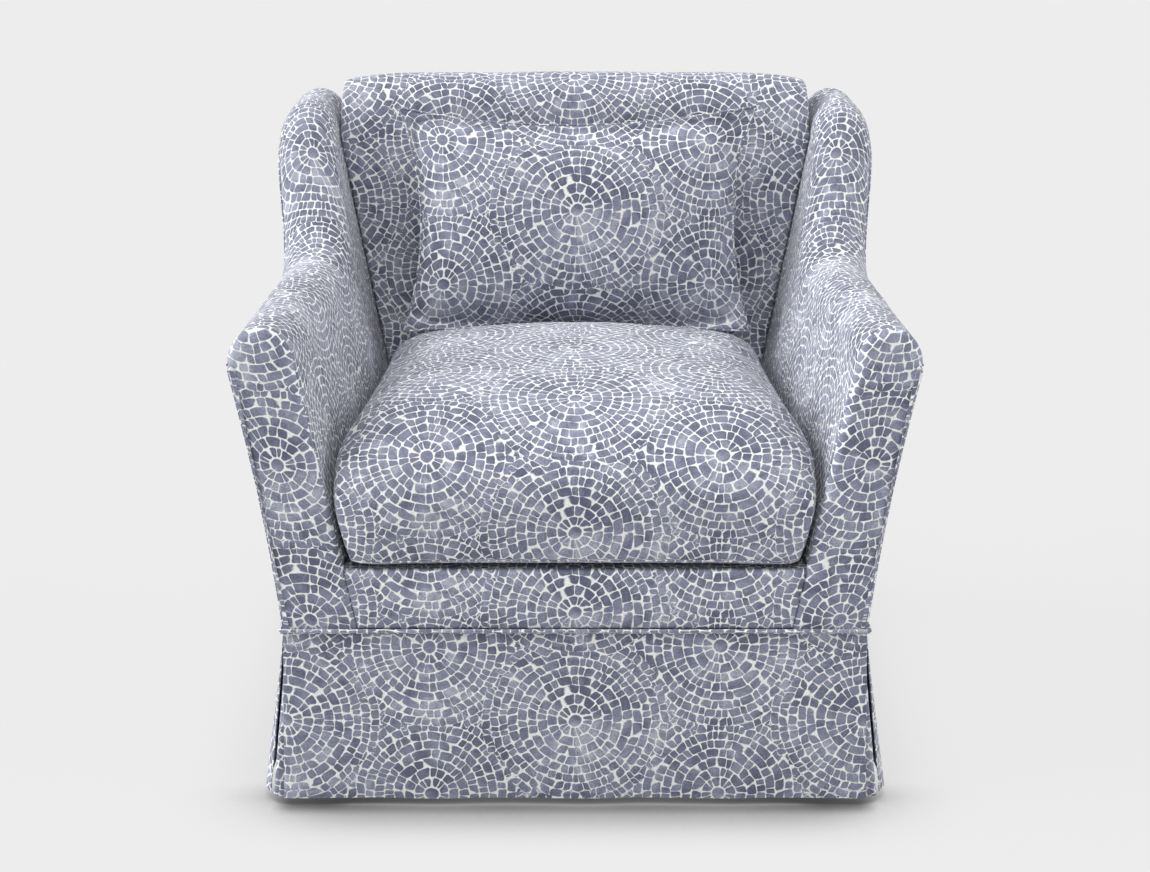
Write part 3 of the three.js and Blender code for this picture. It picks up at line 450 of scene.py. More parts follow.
def mosaic_group():
    """Tesserae in rings round medallions, in millimetres of flat cloth."""
    tree = bpy.data.node_groups.new("mosaic_print", "ShaderNodeTree")
    tree.interface.new_socket("Vector", in_out="INPUT", socket_type="NodeSocketVector")
    tree.interface.new_socket("Color", in_out="OUTPUT", socket_type="NodeSocketColor")
    tree.interface.new_socket("Height", in_out="OUTPUT", socket_type="NodeSocketFloat")
    enter = tree.nodes.new("NodeGroupInput")
    leave = tree.nodes.new("NodeGroupOutput")
    scale = {0: enter.outputs[0], "Scale": 1 / MM}
    flat = add_node(tree, "VectorMath", scale, operation="SCALE").outputs[0]
    u0, v0, _ = split(tree, flat)
    bend_u, bend_v, _ = split(tree, noise_of(tree, flat, 1 / BEND_SIZE, 1.0, 0.5, color=True))
    u = u0 + (bend_u - 0.5) * BEND
    v = v0 + (bend_v - 0.5) * BEND
    zero = const(tree, 0.0)

    def blotches(size, detail=2.0, rough=0.5):
        return noise_of(tree, flat, 1 / size, detail, rough)

    def medallion(shift, mark):
        pu, pv = (u - REPEAT_U * shift) / REPEAT_U, (v - REPEAT_V * shift) / REPEAT_V
        iu, iv = pu.round(), pv.round()
        du, dv = (pu - iu) * REPEAT_U, (pv - iv) * REPEAT_V
        return [du, dv, du * du + dv * dv, iu * 17.3 + iv * 5.9 + mark]

    def choose(share, first, second):
        return [b.mix(a, share) for a, b in zip(first, second)]

    on, off = medallion(0.0, 3.1), medallion(0.5, 0.0)
    inner = on[2].less(off[2])
    near, other = choose(inner, on, off), choose(inner, off, on)
    up = near[1].less(0.0) * 2.0 - 1.0
    dv_next = near[1] + up * REPEAT_V
    beside = [near[0], dv_next, near[0] * near[0] + dv_next * dv_next, near[3] - up * 5.9]
    other = choose(other[2].less(beside[2]), other, beside)
    above = other[3].less(near[3])
    top, under = choose(above, near, other), choose(above, other, near)

    def tesserae(me, it):
        """Signed distance to this medallion's own stone, and that stone's random number."""
        du, dv, squared, cell = me
        r = squared.sqrt()
        s = (r + LEAD) / RING + ((r - EVEN_TO).max(0.0) / SHRINK).square()
        k = s.floor()
        past = k + (0.5 - (EVEN_TO + LEAD) / RING)
        bent = (past.max(0.0) * (4 / SHRINK**2) + RING**-2).sqrt() - 1 / RING
        middle = bent * (SHRINK**2 / 2) + past.min(0.0) * RING + EVEN_TO
        hub = k.less(0.5)
        first = (k - 1.0).abs().less(0.5)
        loose = (middle - EVEN_TO).max(0.0)
        count = ((middle * (2 * math.pi) / (loose * -0.013 + TILE)).round() + first * 5.0).max(1.0)
        theta = dv.atan2(du)
        seed = cell + k * 2.7
        drift = (theta * 2.0 + seed * 5.1).sin() + (theta * 3.0 + seed * 9.3).sin() * 0.7
        drift = drift * (k * 0.16 - 0.16).max(zero).min(0.62)
        drift = drift + (theta * (count * 0.41).round() + seed * 3.3).sin() * 0.2
        t = theta * count / (2 * math.pi) + count * 0.5 + seed * 0.77 + drift
        j = t.floor()
        inputs = {"Vector": combine(tree, j.mod(count), k, cell)}
        which = add_node(tree, "TexWhiteNoise", inputs, noise_dimensions="3D")
        pick_1, pick_2, pick_3 = split(tree, which.outputs["Color"])
        half = r * math.pi / count
        place = t - j - 0.5
        across = place * half * 2.0
        high = const(tree, RING) / ((r - EVEN_TO).max(0.0) * (2 * RING / SHRINK**2) + 1.0)
        along = (s - k - 0.5) * high
        tilt = loose * 0.0035 + 0.38
        turn_x = across + along * (pick_1 - 0.5) * tilt
        turn_y = along + across * (pick_3 - 0.5) * tilt
        inset = pick_1 * 0.4 + 0.42
        qx = turn_x.abs() - (half - inset - ROUND)
        qy = turn_y.abs() - (high * 0.5 - inset - ROUND)
        px, py = qx.max(zero), qy.max(zero)
        box = (px * px + py * py).sqrt() + qx.max(qy).min(zero) - ROUND
        box = box.mix(r - (RING - LEAD - 1.0), hub)
        eu, ev = du - it[0], dv - it[1]
        reach = (eu * eu + ev * ev).sqrt()
        angle = theta - place / count * (2 * math.pi)
        beyond = (angle.cos() * eu + angle.sin() * ev) * middle / reach - reach * 0.5
        mine = beyond.less((pick_2 - 0.5) * 4.0 + 7.0)
        return const(tree, 6.0).mix(box, mine), pick_2

    over_box, over_pick = tesserae(top, under)
    under_box, under_pick = tesserae(under, top)
    cut = over_box * -1.0 + GROUT
    pick = under_pick.mix(over_pick, over_box.less(GROUT / 2))
    box = over_box.min(under_box.max(cut)) + (blotches(6.0, 1.0) - 0.5) * 1.5
    mask = box.step(0.4, -0.45)

    wash, cloud, heather = blotches(17.0, 3.0, 0.6), blotches(70.0, 2.0, 0.55), blotches(2.1, 2.0, 0.7)
    r = near[2].sqrt()
    slope = (near[1] / (r + 14.0)) * (r / -48.0).exp()
    light = (pick - 0.5) * 0.42 + (wash - 0.5) * 1.3 + (cloud - 0.5) * 1.6 + (heather - 0.5) * 0.8
    light = light - slope * 0.62 + 0.45
    dark_mid = mix_color(tree, light.step(0.0, 0.62), *INK[:2])
    tone = mix_color(tree, light.step(0.55, 1.15), dark_mid, INK[2])
    tint = blotches(38.0) - 0.5
    tone = mix_color(tree, (tint * 2.4 + light * 0.3).step(0.3, 1.0) * 0.45, tone, TINTS[0])
    tone = mix_color(tree, (tint * -2.6 + heather * 0.4).step(0.3, 1.1) * 0.5, tone, TINTS[1])
    grout = mix_color(tree, wash, *BARE_CLOTH)
    color = mix_color(tree, mask, grout, tone)
    slub_u = noise_of(tree, combine(tree, u0 * 1.9, v0 * 0.22), 1.0, 1.0)
    slub_v = noise_of(tree, combine(tree, u0 * 0.22, v0 * 1.9), 1.0, 1.0)
    grain = (heather - 0.5) * 0.72 + (slub_u - 0.5) * 0.28 + (slub_v - 0.5) * 0.28 + 1.0
    grain = combine(tree, grain, grain, grain)
    color = mix_color(tree, 1.0, color, grain, "MULTIPLY")
    thread = 2 * math.pi / THREAD
    weave = (u0 * thread).sin() * (v0 * thread).sin()
    relief = weave * 0.22 + heather * 0.5 + (slub_u + slub_v) * 0.3
    feed(tree, leave.inputs["Color"], color)
    feed(tree, leave.inputs["Height"], relief)
    return tree


MOSAIC = mosaic_group()


def material(name, roughness, **settings):
    mat = bpy.data.materials.new(name)
    mat.use_nodes = True
    tree = mat.node_tree
    shader = tree.nodes["Principled BSDF"]
    shader.inputs["Roughness"].default_value = roughness
    shader.inputs["IOR"].default_value = 1.5
    for key, value in settings.items():
        shader.inputs[key.replace("_", " ").title()].default_value = value
    return mat, tree, shader


def surfaced(tree, shader, color, rough=None, height=None, distance=0.0, strength=1.0):
    """Gives a shader its colour, its roughness and a relief."""
    feed(tree, shader.inputs["Base Color"], color)
    if rough is not None:
        feed(tree, shader.inputs["Roughness"], rough)
    inputs = {"Distance": distance, "Strength": strength, "Height": height}
    feed(tree, shader.inputs["Normal"], add_node(tree, "Bump", inputs).outputs[0])


def printed_cloth(name):
    mat, tree, shader = material(name, 0.88, sheen_weight=0.18, sheen_roughness=0.55)
    uv = add_node(tree, "UVMap", uv_map="cloth")
    group = add_node(tree, "Group", node_tree=MOSAIC)
    feed(tree, group.inputs[0], uv.outputs[0])
    surfaced(tree, shader, group.outputs["Color"], None, group.outputs["Height"], 0.0006, 0.6)
    return mat


def object_space(tree):
    return add_node(tree, "TexCoord").outputs["Object"]


def stretched(tree, vector, *scale):
    return add_node(tree, "VectorMath", {0: vector, 1: scale}, operation="MULTIPLY").outputs[0]


def wood(name, dark, light, roughness, grain_axis=(30, 6, 30)):
    mat, tree, shader = material(name, roughness)
    space = object_space(tree)
    rings = noise_of(tree, stretched(tree, space, *grain_axis), 1.6, 4.0, 0.6)
    bands = (rings * 26.0).sin() * 0.5 + 0.5
    pores = noise_of(tree, stretched(tree, space, *(8 * a for a in grain_axis)), 6.0, 3.0, 0.7)
    tone = bands * 0.45 + rings * 0.3 + pores * 0.35
    color = mix_color(tree, tone.step(0.15, 0.95), dark, light)
    rough = pores * 0.25 + (roughness - 0.12)
    surfaced(tree, shader, color, rough, bands * 0.3 + pores, 0.0004, 0.5)
    return mat


def plain_cloth(name, dark, light, thread, roughness=0.92, relief=0.0005):
    mat, tree, shader = material(name, roughness, sheen_weight=0.1, sheen_roughness=0.5)
    space = object_space(tree)
    x, y, z = split(tree, space)
    turn = 2 * math.pi / thread
    weave = ((x + z * 0.7) * turn).sin() * ((y + z * 0.7) * turn).sin()
    fuzz = noise_of(tree, space, 420.0, 2.0, 0.7)
    cloud = noise_of(tree, space, 14.0, 3.0)
    tone = weave * 0.2 + fuzz * 0.5 + cloud * 0.4
    color = mix_color(tree, tone.step(0.1, 0.9), dark, light)
    surfaced(tree, shader, color, None, weave * 0.5 + fuzz, relief, 0.6)
    return mat


def worn_metal(name, dark, light, roughness, scale=60.0):
    mat, tree, shader = material(name, roughness, metallic=1.0)
    space = object_space(tree)
    cloud = noise_of(tree, space, scale, 4.0, 0.65)
    lines = noise_of(tree, stretched(tree, space, 900, 60, 900), 1.0, 2.0)
    rough = cloud * 0.3 + lines * 0.15 + (roughness - 0.15)
    color = mix_color(tree, cloud, dark, light)
    surfaced(tree, shader, color, rough, lines * 0.4 + cloud * 0.6, 0.00015, 0.4)
    return mat


def moulded_plastic(name, dark, light, roughness):
    mat, tree, shader = material(name, roughness)
    space = object_space(tree)
    grain = noise_of(tree, space, 900.0, 2.0, 0.6)
    scuff = noise_of(tree, stretched(tree, space, 60, 240, 60), 1.0, 3.0, 0.7)
    color = mix_color(tree, scuff.step(0.35, 0.8), dark, light)
    surfaced(tree, shader, color, scuff * 0.3 + (roughness - 0.1), grain, 0.0002, 0.5)
    return mat


CLOTH = printed_cloth("mosaic_cloth")
ZIP_TAPE = plain_cloth("zip_tape", (0.20, 0.22, 0.32), (0.34, 0.36, 0.47), 0.0012)
MATERIALS = {
    "timber": wood("frame_timber", (0.38, 0.22, 0.11), (0.68, 0.47, 0.27), 0.62),
    "dark_timber": wood("leg_timber", (0.035, 0.018, 0.010), (0.10, 0.055, 0.030), 0.42, (30, 30, 5)),
    "spring_steel": worn_metal("spring_steel", (0.14, 0.145, 0.15), (0.42, 0.43, 0.44), 0.38),
    "lining": plain_cloth("platform_cloth", (0.52, 0.49, 0.43), (0.74, 0.71, 0.65), 0.0016),
    "filling": moulded_plastic("foam", (0.72, 0.62, 0.42), (0.88, 0.80, 0.62), 0.9),
    "black_cloth": plain_cloth("dust_cloth", (0.012, 0.012, 0.014), (0.04, 0.04, 0.045), 0.0012),
    "webbing": plain_cloth("webbing", (0.16, 0.12, 0.07), (0.34, 0.27, 0.17), 0.0028),
    "glide_plastic": moulded_plastic("glide_plastic", (0.02, 0.02, 0.022), (0.06, 0.06, 0.065), 0.5),
    "zip_metal": worn_metal("zip_metal", (0.42, 0.42, 0.43), (0.72, 0.72, 0.73), 0.3, 200.0),
}


def finish_piece(thing, body="root", replaces=(), mat=CLOTH):
    """Gives a piece its material and body, and hides the CAD nodes that it replaces."""
    thing.data.materials.append(mat)
    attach(thing, body)
    if replaces:
        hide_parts(*replaces)


def add_cover(name, front, back, uv, replaces, side=1, inward=(0, 0)):
    """A padded piece of printed cloth between two grids of points."""
    thing = shell(name, flip_x(front, side), flip_x(back, side), uv, inward)
    finish_piece(thing, replaces=[replaces])


def arm_cover(side_name, side):
    """Over the crown of arm and wing from the outer seam, then down the inside."""
    y = lerp(BODY_FRONT - 2, BODY_REAR, spaced(110, 0.35))
    edge, crown = edge_at(y), crown_at(y)
    outer, inner = outer_x(y, edge), inner_x(y, edge)
    middle, half = (outer + inner) / 2, (outer - inner) / 2
    lifted = np.clip((y - (ZONE_FRONT - 9)) / 8, 0, 1)
    low = lerp(deck_top(y) + 2, edge - WING_REAR_DROP + 3, lifted)
    columns = []
    for a in np.linspace(0.06, math.pi, 26):
        columns.append(grid(middle + half * np.cos(a), y, edge + crown * np.sin(a)))
    for t in np.linspace(0, 1, 34)[1:]:
        z = lerp(edge, low, t)
        columns.append(grid(inner_x(y, z), y, z))
    front = raked(np.stack(columns, 1))
    toward = np.array([-1, 0, 0.4])
    puffed = dressed(front, toward, (7, 6, 2.5, 3), wobble=1.1, size=95, seed=3.0)
    bay = BAY_INSET - 1
    back = []
    for t in np.linspace(0, 1, len(columns)):
        if t < 0.18:
            z = edge - 1.2
            x = lerp(outer_x(y, edge) - 0.4, frame_x(y, edge) - bay, t / 0.18)
        elif t < 0.92:
            z = lerp(edge - 1.2, low, (t - 0.18) / 0.74)
            x = frame_x(y, z) - bay
        else:
            z = low
            x = lerp(frame_x(y, low) - bay, inner_x(y, low) + 4, (t - 0.92) / 0.08)
        back.append(grid(x, y, z))
    back = raked(np.stack(back, 1))
    across = arc_length(front, 1)
    sweep = arc_length(front, 0)[:, 13:14]
    uv = np.stack([across - across[:, 13:14], sweep + 0 * across + WING_PHASE], -1)
    if side < 0:
        uv = uv + [3 * REPEAT_U, 5 * REPEAT_V]
    add_cover(f"{side_name}_arm_cover", puffed, back, uv, f"{side_name}_arm_pad", side, (0, 38))


def front_outline():
    """Arm front outline in X and Z: inner edge at each height, then the rounded top."""
    low = np.linspace(SEAM + 0.6, ARM_EDGE, 60)
    inner = inner_x(FRONT, low)
    outer = outer_x(FRONT, low) - 0.4
    middle, half = (inner[-1] + outer[-1]) / 2, (outer[-1] - inner[-1]) / 2
    turn = np.linspace(0, 1, 26)[1:] * math.pi / 2 * 0.975
    reach = half * np.cos(turn)
    z = np.concatenate([low, ARM_EDGE + ARM_CROWN * np.sin(turn)])
    left = np.concatenate([inner, middle - reach])
    right = np.concatenate([outer, middle + reach])
    return z, left, right


def distance_to_outline(points, outline):
    start, end = outline, np.roll(outline, -1, 0)
    span = end - start
    flat = points.reshape(-1, 1, 2)
    t = np.clip(np.sum((flat - start) * span, -1) / np.maximum(np.sum(span * span, -1), 1e-9), 0, 1)
    gap = np.linalg.norm(flat - (start + t[..., None] * span), axis=-1)
    return gap.min(1).reshape(points.shape[:-1])


def arm_front(side_name, side):
    z, left, right = front_outline()
    outline = np.concatenate([np.stack([left, z], -1), np.stack([right, z], -1)[::-1]])
    outline[[0, -1], 1] = SEAM - 60
    x = lerp(left[:, None], right[:, None], spaced(34, 0.8))
    z = z[:, None] + 0 * x
    gap = distance_to_outline(np.stack([x, z], -1), outline)
    full = 1 - np.clip(1 - gap / 34, 0, 1) ** 2
    radius = lerp(5.0, 11.0, np.clip((z - SEAM) / (ARM_EDGE - SEAM), 0, 1))
    fall = rolled_off(np.minimum(gap + 0.3, radius), radius)
    seat = np.clip((z - SEAM) / 30, 0, 1)
    y = FRONT + 2.6 - 3.4 * full * seat + fall + 0.9 * uneven(grid(x, 0, z), 80, 7.0)
    back = raked(grid(x, FRONT + FRONT_PANEL, z))
    uv = np.stack([x - lerp(310, 343, (z - 235) / 187) + REPEAT_U, z - 422], -1)
    if side < 0:
        uv = uv + [2 * REPEAT_U, 3 * REPEAT_V]
    name = f"{side_name}_arm_front"
    add_cover(name, raked(grid(x, y, z)), back, uv, f"{name}_panel", side)


def outside_cover(side_name, side):
    y = lerp(FRONT + 0.3, REAR - 0.2, spaced(90, 0.45))[:, None]
    z = lerp(SEAM + 0.6, edge_at(y) - 0.8, spaced(60, 0.45))
    front = raked(grid(outer_x(y, z) - 0.2, y, z))
    puffed = dressed(front, (1, 0, 0), (3, 3, 2.5, 2.5), dome=2.2, size=120, seed=11.0)
    back = raked(grid(frame_x(y, z) - SIDE_PANEL, y, z))
    uv = grid(y + 120, z - 330, 0)[..., :2] + (side + 3) * np.array([REPEAT_U, 0])
    add_cover(f"{side_name}_outside_cover", puffed, back, uv, f"{side_name}_outside_panel", side)


def outside_back():
    z = lerp(SEAM + 0.6, WING_EDGE - 0.6, spaced(70, 0.45))[:, None]
    x = (outer_x(REAR, z) - SIDE_PANEL - 0.2) * lerp(-1, 1, spaced(100, 0.45))
    front = raked(grid(x, REAR - 0.4, z))
    puffed = dressed(front, (0, 1, 0), (2.5, 2.5, 3, 3), dome=0.4, wobble=0.7, size=130, seed=21.0)
    back = raked(grid(x, REAR - BACK_PANEL, z))
    uv = grid(x, z - 500, 0)[..., :2]
    add_cover("outside_back_cover", puffed, back, uv, "outside_back_panel")


def border():
    z = lerp(SEAM + 0.6, deck_top(FRONT) - 0.3, spaced(26, 0.5))[:, None]
    x = (inner_x(FRONT, z) - CLEAR) * lerp(-1, 1, spaced(110, 0.45))
    front = raked(grid(x, FRONT + 2.2, z))
    puffed = dressed(front, (0, -1, 0), (2.5, 5, 1.4, 1.4), dome=2.6, size=70, seed=5.0)
    back = raked(grid(x, FRONT + FRONT_PANEL, z))
    uv = grid(x, z - 244, 0)[..., :2]
    add_cover("front_border_cover", puffed, back, uv, "front_border")


def inside_back():
    low = deck_top(back_front_y(DECK_BACK)) + 2
    front_y, rear_edge = back_front_y(WING_EDGE), WING_EDGE - WING_REAR_DROP
    roll_a = bezier(
        (front_y, WING_EDGE), (lerp(front_y, BACK_CREST, 0.12), lerp(WING_EDGE, OVERALL_HEIGHT, 0.7)),
        (lerp(front_y, BACK_CREST, 0.5), OVERALL_HEIGHT), (BACK_CREST, OVERALL_HEIGHT), 16,
    )
    roll_b = bezier(
        (BACK_CREST, OVERALL_HEIGHT), (lerp(BACK_CREST, BODY_REAR, 0.5), OVERALL_HEIGHT),
        (BODY_REAR, lerp(rear_edge, OVERALL_HEIGHT, 0.65)), (BODY_REAR, rear_edge + 4), 16,
    )
    face_z = np.linspace(low, WING_EDGE, 56)
    face = np.stack([back_front_y(face_z), face_z], -1)
    line_y, line_z = np.concatenate([face, roll_a[1:], roll_b[1:]]).T
    column = lerp(-1, 1, spaced(96, 0.55))[:, None]
    on_face = np.arange(len(line_z)) < len(face)
    share = np.clip((line_z - low) / (WING_EDGE - low), 0, 1)
    bulge = BACK_BULGE * (1 - column**2) * np.sin(math.pi * share) * on_face
    z = line_z - column**8 * 12 * ~on_face * np.clip((line_z - WING_EDGE) / 20, 0, 1)
    x = column * (inner_x(REAR, np.minimum(z, WING_EDGE)) - CLEAR)
    front = raked(grid(x, line_y - bulge, z))
    puffed = dressed(front, (0, -1, 0.4), (9, 9, 3, 3), wobble=1.0, size=120, seed=9.0)
    behind_y = np.where(line_z < rear_edge, ZONE_FRONT - 2, BODY_REAR - 3)
    behind_y = np.maximum(np.minimum(line_y + 60, behind_y), line_y + 2)
    behind_z = np.minimum(line_z, rear_edge + 2)
    behind_x = column * (inner_x(REAR, behind_z) - CLEAR - 2)
    back = raked(grid(behind_x, np.minimum(behind_y, BODY_REAR - 0.5), behind_z))
    run = arc_length(front, 1)
    uv = np.stack([x, run - run[:, len(face) - 1:len(face)] + BACK_PHASE], -1)
    add_cover("inside_back_cover", puffed, back, uv, "inside_back_pad")


def plan_points(power, steps, ahead):
    """A square with rounded corners, rounder by the power ahead in front."""
    out = []
    for i in range(4 * steps):
        side, place = divmod(i, steps)
        along = 2 * place / steps - 1
        a, b = [(1, along), (-along, 1), (-1, -along), (along, -1)][side]
        round_to = ahead if b < 0 else power
        shrink = (abs(a) ** round_to + abs(b) ** round_to) ** (-1 / round_to)
        out.append((a * shrink, b * shrink))
    return np.array(out)


def ringed(name, rings, low, high):
    """A closed body from rings of points between two poles, in millimetres."""
    count = rings.shape[1]
    verts = np.concatenate([[low], rings.reshape(-1, 3), [high]]) * MM
    faces = []
    for i in range(count):
        j = (i + 1) % count
        faces.append((0, 1 + j, 1 + i))
        for r in range(len(rings) - 1):
            a, b = 1 + r * count, 1 + (r + 1) * count
            faces.append((a + i, a + j, b + j, b + i))
        a = 1 + (len(rings) - 1) * count
        faces.append((a + i, a + j, len(verts) - 1))
    return new_object(name, verts, faces)


def laid_cloth(node_name, name, cuts, slack, mat):
    """The cloth of a CAD node, with the slack that it has between its tacked edges."""
    node = frame["nodes"][node_name]
    bm = bmesh.new()
    bm.from_mesh(node.data)
    bm.transform(node.matrix_world)
    bmesh.ops.remove_doubles(bm, verts=bm.verts, dist=0.01 * MM)
    bmesh.ops.dissolve_limit(bm, angle_limit=0.01, verts=bm.verts, edges=bm.edges)
    bmesh.ops.subdivide_edges(bm, edges=bm.edges[:], cuts=cuts, use_grid_fill=True)
    points = np.array([vert.co for vert in bm.verts])
    low, high = points.min(axis=0), points.max(axis=0)
    axis = int(np.argmax(high - low)) if slack[1] else 1
    uv = bm.loops.layers.uv.new("cloth")
    for vert in bm.verts:
        lump = noise.noise(Vector(vert.co) / 0.09)
        share = (vert.co[axis] - low[axis]) / (high[axis] - low[axis])
        move = (0.5 + lump) * MM * math.sin(math.pi * share)
        vert.co.z -= slack[0] * move
        vert.co.y -= slack[1] * move
    for face in bm.faces:
        face.smooth = True
        for loop in face.loops:
            loop[uv].uv = loop.vert.co.xy
    mesh = bpy.data.meshes.new(name)
    bm.to_mesh(mesh)
    bm.free()
    thing = add_object(name, mesh)
    finish_piece(thing, replaces=[node_name], mat=mat)
    return thing


def seat_deck():
    """The cloth over the springs: printed at the front, plain behind."""
    thing = laid_cloth("seat_deck", "seat_deck_cloth", DECK_CUTS, DECK_SLACK, CLOTH)
    thing.data.materials.append(MATERIALS["lining"])
    band_end = min(vert.co.y for vert in thing.data.vertices) + DECK_BAND * MM
    for face in thing.data.polygons:
        face.material_index = int(face.center.y > band_end)


def cushion_levels(column):
    steps = np.arange(len(CUSHION_PROFILE))
    return np.interp(np.linspace(0, steps[-1], CUSHION_LEVELS), steps, CUSHION_PROFILE[:, column])


def cushion_rings(inset):
    """The rings of the seat cushion and the points in the middle of its underside and crown."""

    def place(px, py, radius, lift, spread):
        fill = 0.75 * np.maximum(py, 0) ** 2 * (1 - px**2)
        above = np.maximum(lift - 0.38, 0) / 0.62
        full = np.minimum(lift, 0.38) + 0.62 * above ** (1 - fill)
        front_y = FRONT - 12 + inset
        along = (py * radius + 1) / 2
        height = full * (CUSHION_THICK - 2 * inset)
        low = deck_top(lerp(front_y, back_front_y(DECK_BACK), along)) + CLEAR + inset
        low = low + CUSHION_LIP * np.maximum(-py * radius, 0) ** 8 * (1 - px**4)
        z = low + height
        y = lerp(front_y, back_front_y(z) - BACK_BULGE - 3 - inset, along)
        spill = CUSHION_SPILL * np.clip((FRONT - y) / 7, 0, 1)
        half = inner_x(y, np.minimum(z, 372)) + 1.6 + spill - inset - 3 * lift * (1 - py**2)
        return raked(grid(px * spread * half, y, z))

    rings = []
    for ring in zip(*(cushion_levels(column) for column in range(3))):
        shoulder = np.clip((ring[1] - 0.3) / 0.45, 0, 1)
        ahead = lerp(CUSHION_CORNER, CUSHION_SHOULDER, shoulder)
        plan = plan_points(CUSHION_CORNER, CUSHION_STEPS, ahead)
        rings.append(place(plan[:, 0], plan[:, 1], *ring))
    middle = np.zeros(1)
    return np.stack(rings), place(middle, middle, 0, 0, 0)[0], place(middle, middle, 0, 1, 0)[0]


CUSHION_TOP = deck_top(BACK_FRONT) + CLEAR + CUSHION_THICK
PILLOW_Z = CUSHION_TOP + 126.8
PILLOW_HALF = inner_x(BACK_FRONT, PILLOW_Z) - 69.5
PILLOW_Y = back_front_y(PILLOW_Z) + RAKE * (PILLOW_Z - FRAME_BOTTOM) - BACK_BULGE - 59 + 0.3
PILLOW_LEAN = math.radians(14.5)
PILLOW_RISE, PILLOW_DEPTH = 153, 118
PILLOW_DIP_SIDE, PILLOW_DIP_LOW, PILLOW_DIP_TOP = 31, 14, 34
PILLOW_STEPS = (84, 58)
PILLOW_WIDER, PILLOW_ASIDE = (2.5, 8.5), 2.5
PILLOW_PRINT, PILLOW_PRINT_DROP = 1.07, -9.0


def pillow_place(points):
    """From the pillow's own frame to the chair's."""
    out = np.array(points, float)
    y, z = out[..., 1].copy(), out[..., 2].copy()
    out[..., 1] = PILLOW_Y + y * math.cos(PILLOW_LEAN) + z * math.sin(PILLOW_LEAN)
    out[..., 2] = PILLOW_Z - y * math.sin(PILLOW_LEAN) + z * math.cos(PILLOW_LEAN)
    return out


def pillow_cloth():
    """Two layers sewn at a shared edge: points, faces, cloth coordinates and the edge's points."""
    columns, rows = PILLOW_STEPS
    across = lerp(-1, 1, spaced(columns, 0.5))[:, None] + np.zeros(rows)
    upward = lerp(-1, 1, spaced(rows, 0.5)) + np.zeros((columns, 1))
    dip = np.where(upward > 0, PILLOW_DIP_TOP, PILLOW_DIP_LOW)
    half = PILLOW_HALF + lerp(*PILLOW_WIDER, (upward + 1) / 2)
    x = across * (half - PILLOW_DIP_SIDE * (1 - upward**2)) + PILLOW_ASIDE
    z = upward * (PILLOW_RISE + 1 - dip * (1 - across**2))
    full = ((1 - np.abs(across) ** 2.9) * (1 - np.abs(upward) ** 2.9)) ** 0.62
    flat = grid(x, 0, z)
    edge = 1 - np.maximum(np.abs(across), np.abs(upward))
    pucker = uneven(flat, 9, 31.0) * np.exp(-edge / 0.09) * 1.5 * np.clip(edge / 0.02, 0, 1)
    lump = uneven(flat, 95, 12.0) * 3.0 * full
    depth = (PILLOW_DEPTH / 2 - 1) * full + pucker
    front, back = grid(x, -depth - lump, z), grid(x, depth, z)
    index = np.arange(columns * rows).reshape(columns, rows)
    quads = grid_faces(index)
    inside = np.zeros((columns, rows), bool)
    inside[1:-1, 1:-1] = True
    behind = index.copy()
    behind[inside] = columns * rows + np.arange(inside.sum())
    u, v = arc_length(front, 0), arc_length(front, 1)
    u = u - (u[columns // 2] + u[columns // 2 - 1]) / 2
    v = v - (v[:, rows // 2] + v[:, rows // 2 - 1])[:, None] / 2
    uv = np.stack([u, v], -1) / PILLOW_PRINT + [0, PILLOW_PRINT_DROP]
    points = np.concatenate([front.reshape(-1, 3), back[inside]])
    uv = np.concatenate([uv.reshape(-1, 2), uv[inside]])
    loop = np.concatenate([index[:-1, 0], index[-1, :-1], index[:0:-1, -1], index[0, :0:-1]])
    return pillow_place(points), np.concatenate([quads, behind.ravel()[quads[:, ::-1]]]), uv, loop


def ridge(name, points, radius, body="root", closed=False):
    finish_piece(tube(name, points, radius, closed, sides=8), body)


def hull_of(thing):
    points = [tuple(v.co) for v in thing.data.vertices]
    return BVHTree.FromPolygons(points, [tuple(f.vertices) for f in thing.data.polygons])


def zip_chain(name, hull, line, body):
    """A coil on a tape that follows the cover's surface near a line, in millimetres."""
    run = arc_length(line, 0)
    at = np.arange(0, run[-1], ZIP_STEP)
    wanted = np.stack([np.interp(at, run, line[:, i]) for i in range(3)], -1)
    found = [hull.find_nearest(Vector(point * MM)) for point in wanted]
    path = np.array([hit[0] for hit in found]) / MM
    out = np.array([hit[1] for hit in found])
    ahead = np.gradient(path, axis=0)
    ahead = ahead / np.linalg.norm(ahead, axis=1, keepdims=True)
    side = np.cross(ahead, out)
    wave = (at * (2 * math.pi / ZIP_PITCH))[:, None]
    coil = path + side * np.sin(wave) * ZIP_HALF + out * (COIL_LIFT + COIL_DEPTH * np.cos(wave))
    coil = tube(f"{name}_coil", coil, COIL_RADIUS, sides=6)
    finish_piece(coil, body, mat=MATERIALS["zip_metal"])
    path, side, out, at = path[::4, None], side[::4, None], out[::4, None], at[::4, None]
    share = np.linspace(-1, 1, 9)
    middle = path + side * share[:, None] * TAPE_HALF
    top = middle + out * (TAPE_RISE - 0.5 * np.abs(share[:, None]) ** 6)
    uv = grid(at, share * TAPE_HALF, 0)[..., :2]
    tape = shell(f"{name}_tape", top, middle - out * TAPE_SINK, uv)
    finish_piece(tape, body, mat=ZIP_TAPE)


def mesh_points(thing):
    out = np.zeros(len(thing.data.vertices) * 3, np.float32)
    thing.data.vertices.foreach_get("co", out)
    return out.reshape(-1, 3).astype(float)


def set_points(thing, points):
    thing.data.vertices.foreach_set("co", points.astype(np.float32).ravel())
    thing.data.update()


